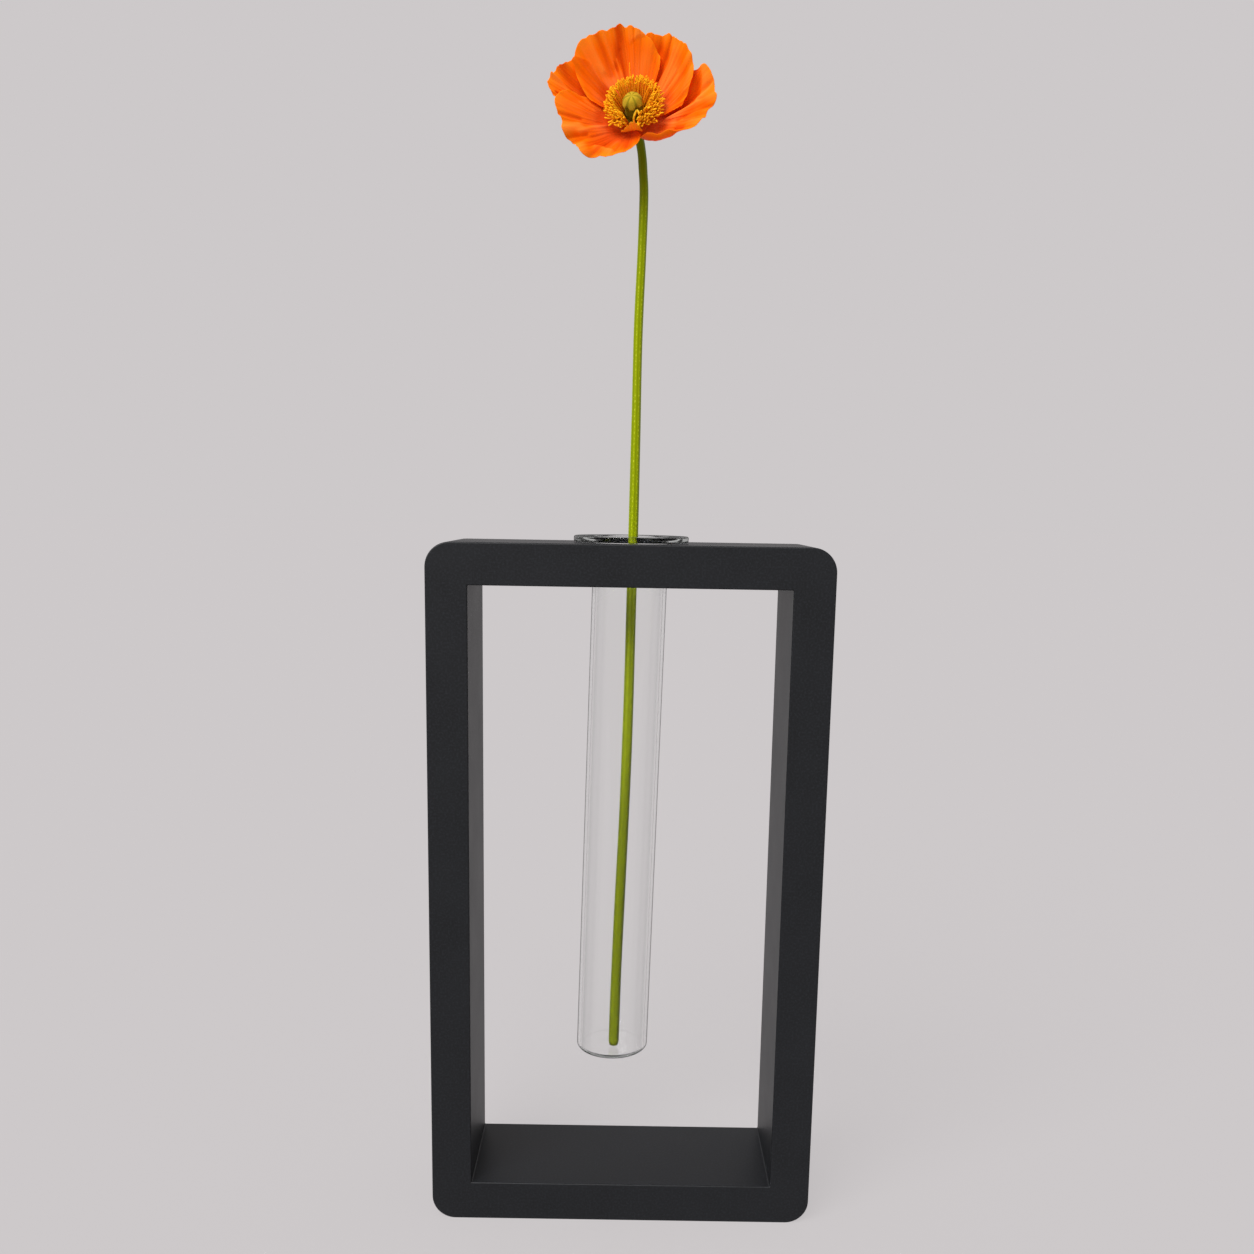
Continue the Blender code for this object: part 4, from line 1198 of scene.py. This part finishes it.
POLLEN = 0.2
PATCHES = 2.2
tree = pollen_tree
place = add_node(tree, "ShaderNodeTexCoord").outputs["Object"]
grains = add_node(tree, "ShaderNodeTexNoise", {
    "Vector": place, "Scale": 1 / (POLLEN * MM), "Detail": 2})
patches = add_node(tree, "ShaderNodeTexNoise", {
    "Vector": place, "Scale": 1 / (PATCHES * MM), "Detail": 1})
dusted = coated(tree, colour("#d88e08"), [
    (patches, 0, 1, 1, "#ffc024"), (grains, 0, 1, 1, "#f0aa18")])
relief = add_node(tree, "ShaderNodeBump", {
    "Height": grains, "Strength": 0.7, "Distance": 0.08 * MM})
coat = add_node(tree, "ShaderNodeBsdfPrincipled", {
    "Base Color": dusted, "Roughness": 0.7, "IOR": 1.4,
    "Sheen Weight": 0.08, "Sheen Roughness": 0.5, "Sheen Tint": colour("#ffc040"),
    "Specular IOR Level": 0.25, "Specular Tint": colour("#ffc040"), "Normal": relief})
show(pollen_coat, Surface=coat)

# %% [markdown]
# The arch has lost its pollen. It is smooth, waxy yellow flesh, a little mottled and
# clear enough that light goes some way into it.

# %% Wax the arch
MOTTLE = 0.6
tree = arch_tree
place = add_node(tree, "ShaderNodeTexCoord").outputs["Object"]
mottle = add_node(tree, "ShaderNodeTexNoise", {
    "Vector": place, "Scale": 1 / (MOTTLE * MM), "Detail": 3})
bright = coated(tree, colour("#ffc61a"), [(mottle, 0, 1, 1, "#ffe03c")])
relief = add_node(tree, "ShaderNodeBump", {
    "Height": mottle, "Strength": 0.4, "Distance": 0.06 * MM})
wax = add_node(tree, "ShaderNodeBsdfPrincipled", {
    "Base Color": bright, "Roughness": 0.4, "IOR": 1.4,
    "Subsurface Weight": 0.3, "Subsurface Scale": 0.3 * MM,
    "Subsurface Radius": (1, 0.8, 0.2), "Normal": relief})
show(waxy_yellow, Surface=wax)

# %% [markdown]
# ## The pistil
#
# The seed pod in the middle is a ribbed green barrel under a cap. Velvety yellow
# bands run over the cap from its top, one for each rib, and hang over its edge as
# lobes. The form is round apart from those ribs, so a ring of points is moved up a
# profile, and the ribs push it out and down by a formula.

# %% Shape the pistil
PISTIL_PROFILE = [
    # radius and height in millimetres, from the top down
    (0, 12.2), (0.8, 12.2), (1.6, 12.05), (2.4, 11.65), (3.05, 11), (3.5, 10.3), (3.6, 9.85),
    (3.5, 9.55), (3.2, 9.35), (3, 9.15), (2.9, 8.4), (2.95, 7.2), (3.1, 6), (3.05, 4.6),
    (2.7, 3.3), (2.1, 2.3), (1.85, 1.4), (1.85, 0.4)]
PISTIL_LOBES = 6
LOBE_OUT = 0.3
LOBE_DROOP = 1.15
BAND_HEIGHT = 0.16
POD_RIBS = 0.1
FUZZ = 0.07
ROUND = 128
DOWN = 110


def pistil_points():
    """Rings of points down the profile, pushed into bands, lobes and ribs."""
    profile = on_curve(PISTIL_PROFILE, np.linspace(0, 1, DOWN))
    radius, height = profile[:, 0:1], profile[:, 1:2]
    angle = np.linspace(0, 2 * math.pi, ROUND, endpoint=False)[None, :]
    band = eased(0.7 * (1 - np.cos(PISTIL_LOBES * angle)))
    cap = eased((height - 9.0) / 0.7)
    pod = eased((height - 2.2) / 1.5) * (1 - cap)
    rim = eased((radius - 2.2) / 1.6)
    grown = radius + cap * rim * LOBE_OUT * (band - 0.4) + pod * POD_RIBS * (2 * band - 1)
    raised = (height + cap * BAND_HEIGHT * (band - 0.5) * eased(radius / 1.5)
              - cap * rim * LOBE_DROOP * (band - 0.4))
    grown += FUZZ * cap * np.sin(31 * angle + 9 * height) * np.sin(23 * angle - 14 * height)
    points = np.stack([grown * np.cos(angle), grown * np.sin(angle), raised], axis=-1)
    uvs = np.stack(np.broadcast_arrays(angle / (2 * math.pi), height), axis=-1)
    return points.reshape(-1, 3), uvs.reshape(-1, 2)


points, uvs = pistil_points()
faces = [(a, d, c, b) for a, b, c, d in grid_faces(DOWN, ROUND, closed=True)]
faces.append(tuple(range((DOWN - 1) * ROUND, DOWN * ROUND)))
velvet, tree = new_material("velvety_seed_pod")
seed_pod = put("seed_pod", mesh_from("seed_pod", to_bloom(points * MM), faces, uvs), velvet)
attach(seed_pod, "root")
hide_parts("pistil")
print("seed pod:", len(faces), "faces")

# %% [markdown]
# The cap's bands are covered in fine stigma hairs with pollen caught in them, which
# makes them a soft olive yellow. The barrel below is smooth green skin and darker,
# being in the stamens' shade.

# %% Finish the pistil
STIGMA_HAIRS = 0.22
flat = add_node(tree, "ShaderNodeUVMap", uv_map="flat")
parts = add_node(tree, "ShaderNodeSeparateXYZ", {"Vector": flat})
place = add_node(tree, "ShaderNodeTexCoord").outputs["Object"]
hairs = add_node(tree, "ShaderNodeTexNoise", {
    "Vector": place, "Scale": 1 / (STIGMA_HAIRS * MM), "Detail": 3})
turns = add_node(tree, "ShaderNodeMath", {
    0: parts.outputs["X"], 1: 2 * math.pi * PISTIL_LOBES}, operation="MULTIPLY")
grooves = add_node(tree, "ShaderNodeMath", {0: turns}, operation="COSINE")
olive = coated(tree, colour("#8c7812"), [
    (hairs, 0, 1, 1, "#c49e2a"),
    (grooves, 0.2, 0.95, 1, "#7c6c12"),
    (parts.outputs["Y"], 9.6, 8.6, 1, "#6c6606")])
relief = add_node(tree, "ShaderNodeBump", {
    "Height": hairs, "Strength": 0.6, "Distance": 0.12 * MM})
plush = add_node(tree, "ShaderNodeBsdfPrincipled", {
    "Base Color": olive, "Roughness": 0.75, "IOR": 1.4,
    "Sheen Weight": 0.15, "Sheen Roughness": 0.5, "Sheen Tint": colour("#f0d870"),
    "Specular IOR Level": 0.25, "Specular Tint": colour("#f0d870"), "Normal": relief})
show(velvet, Surface=plush)
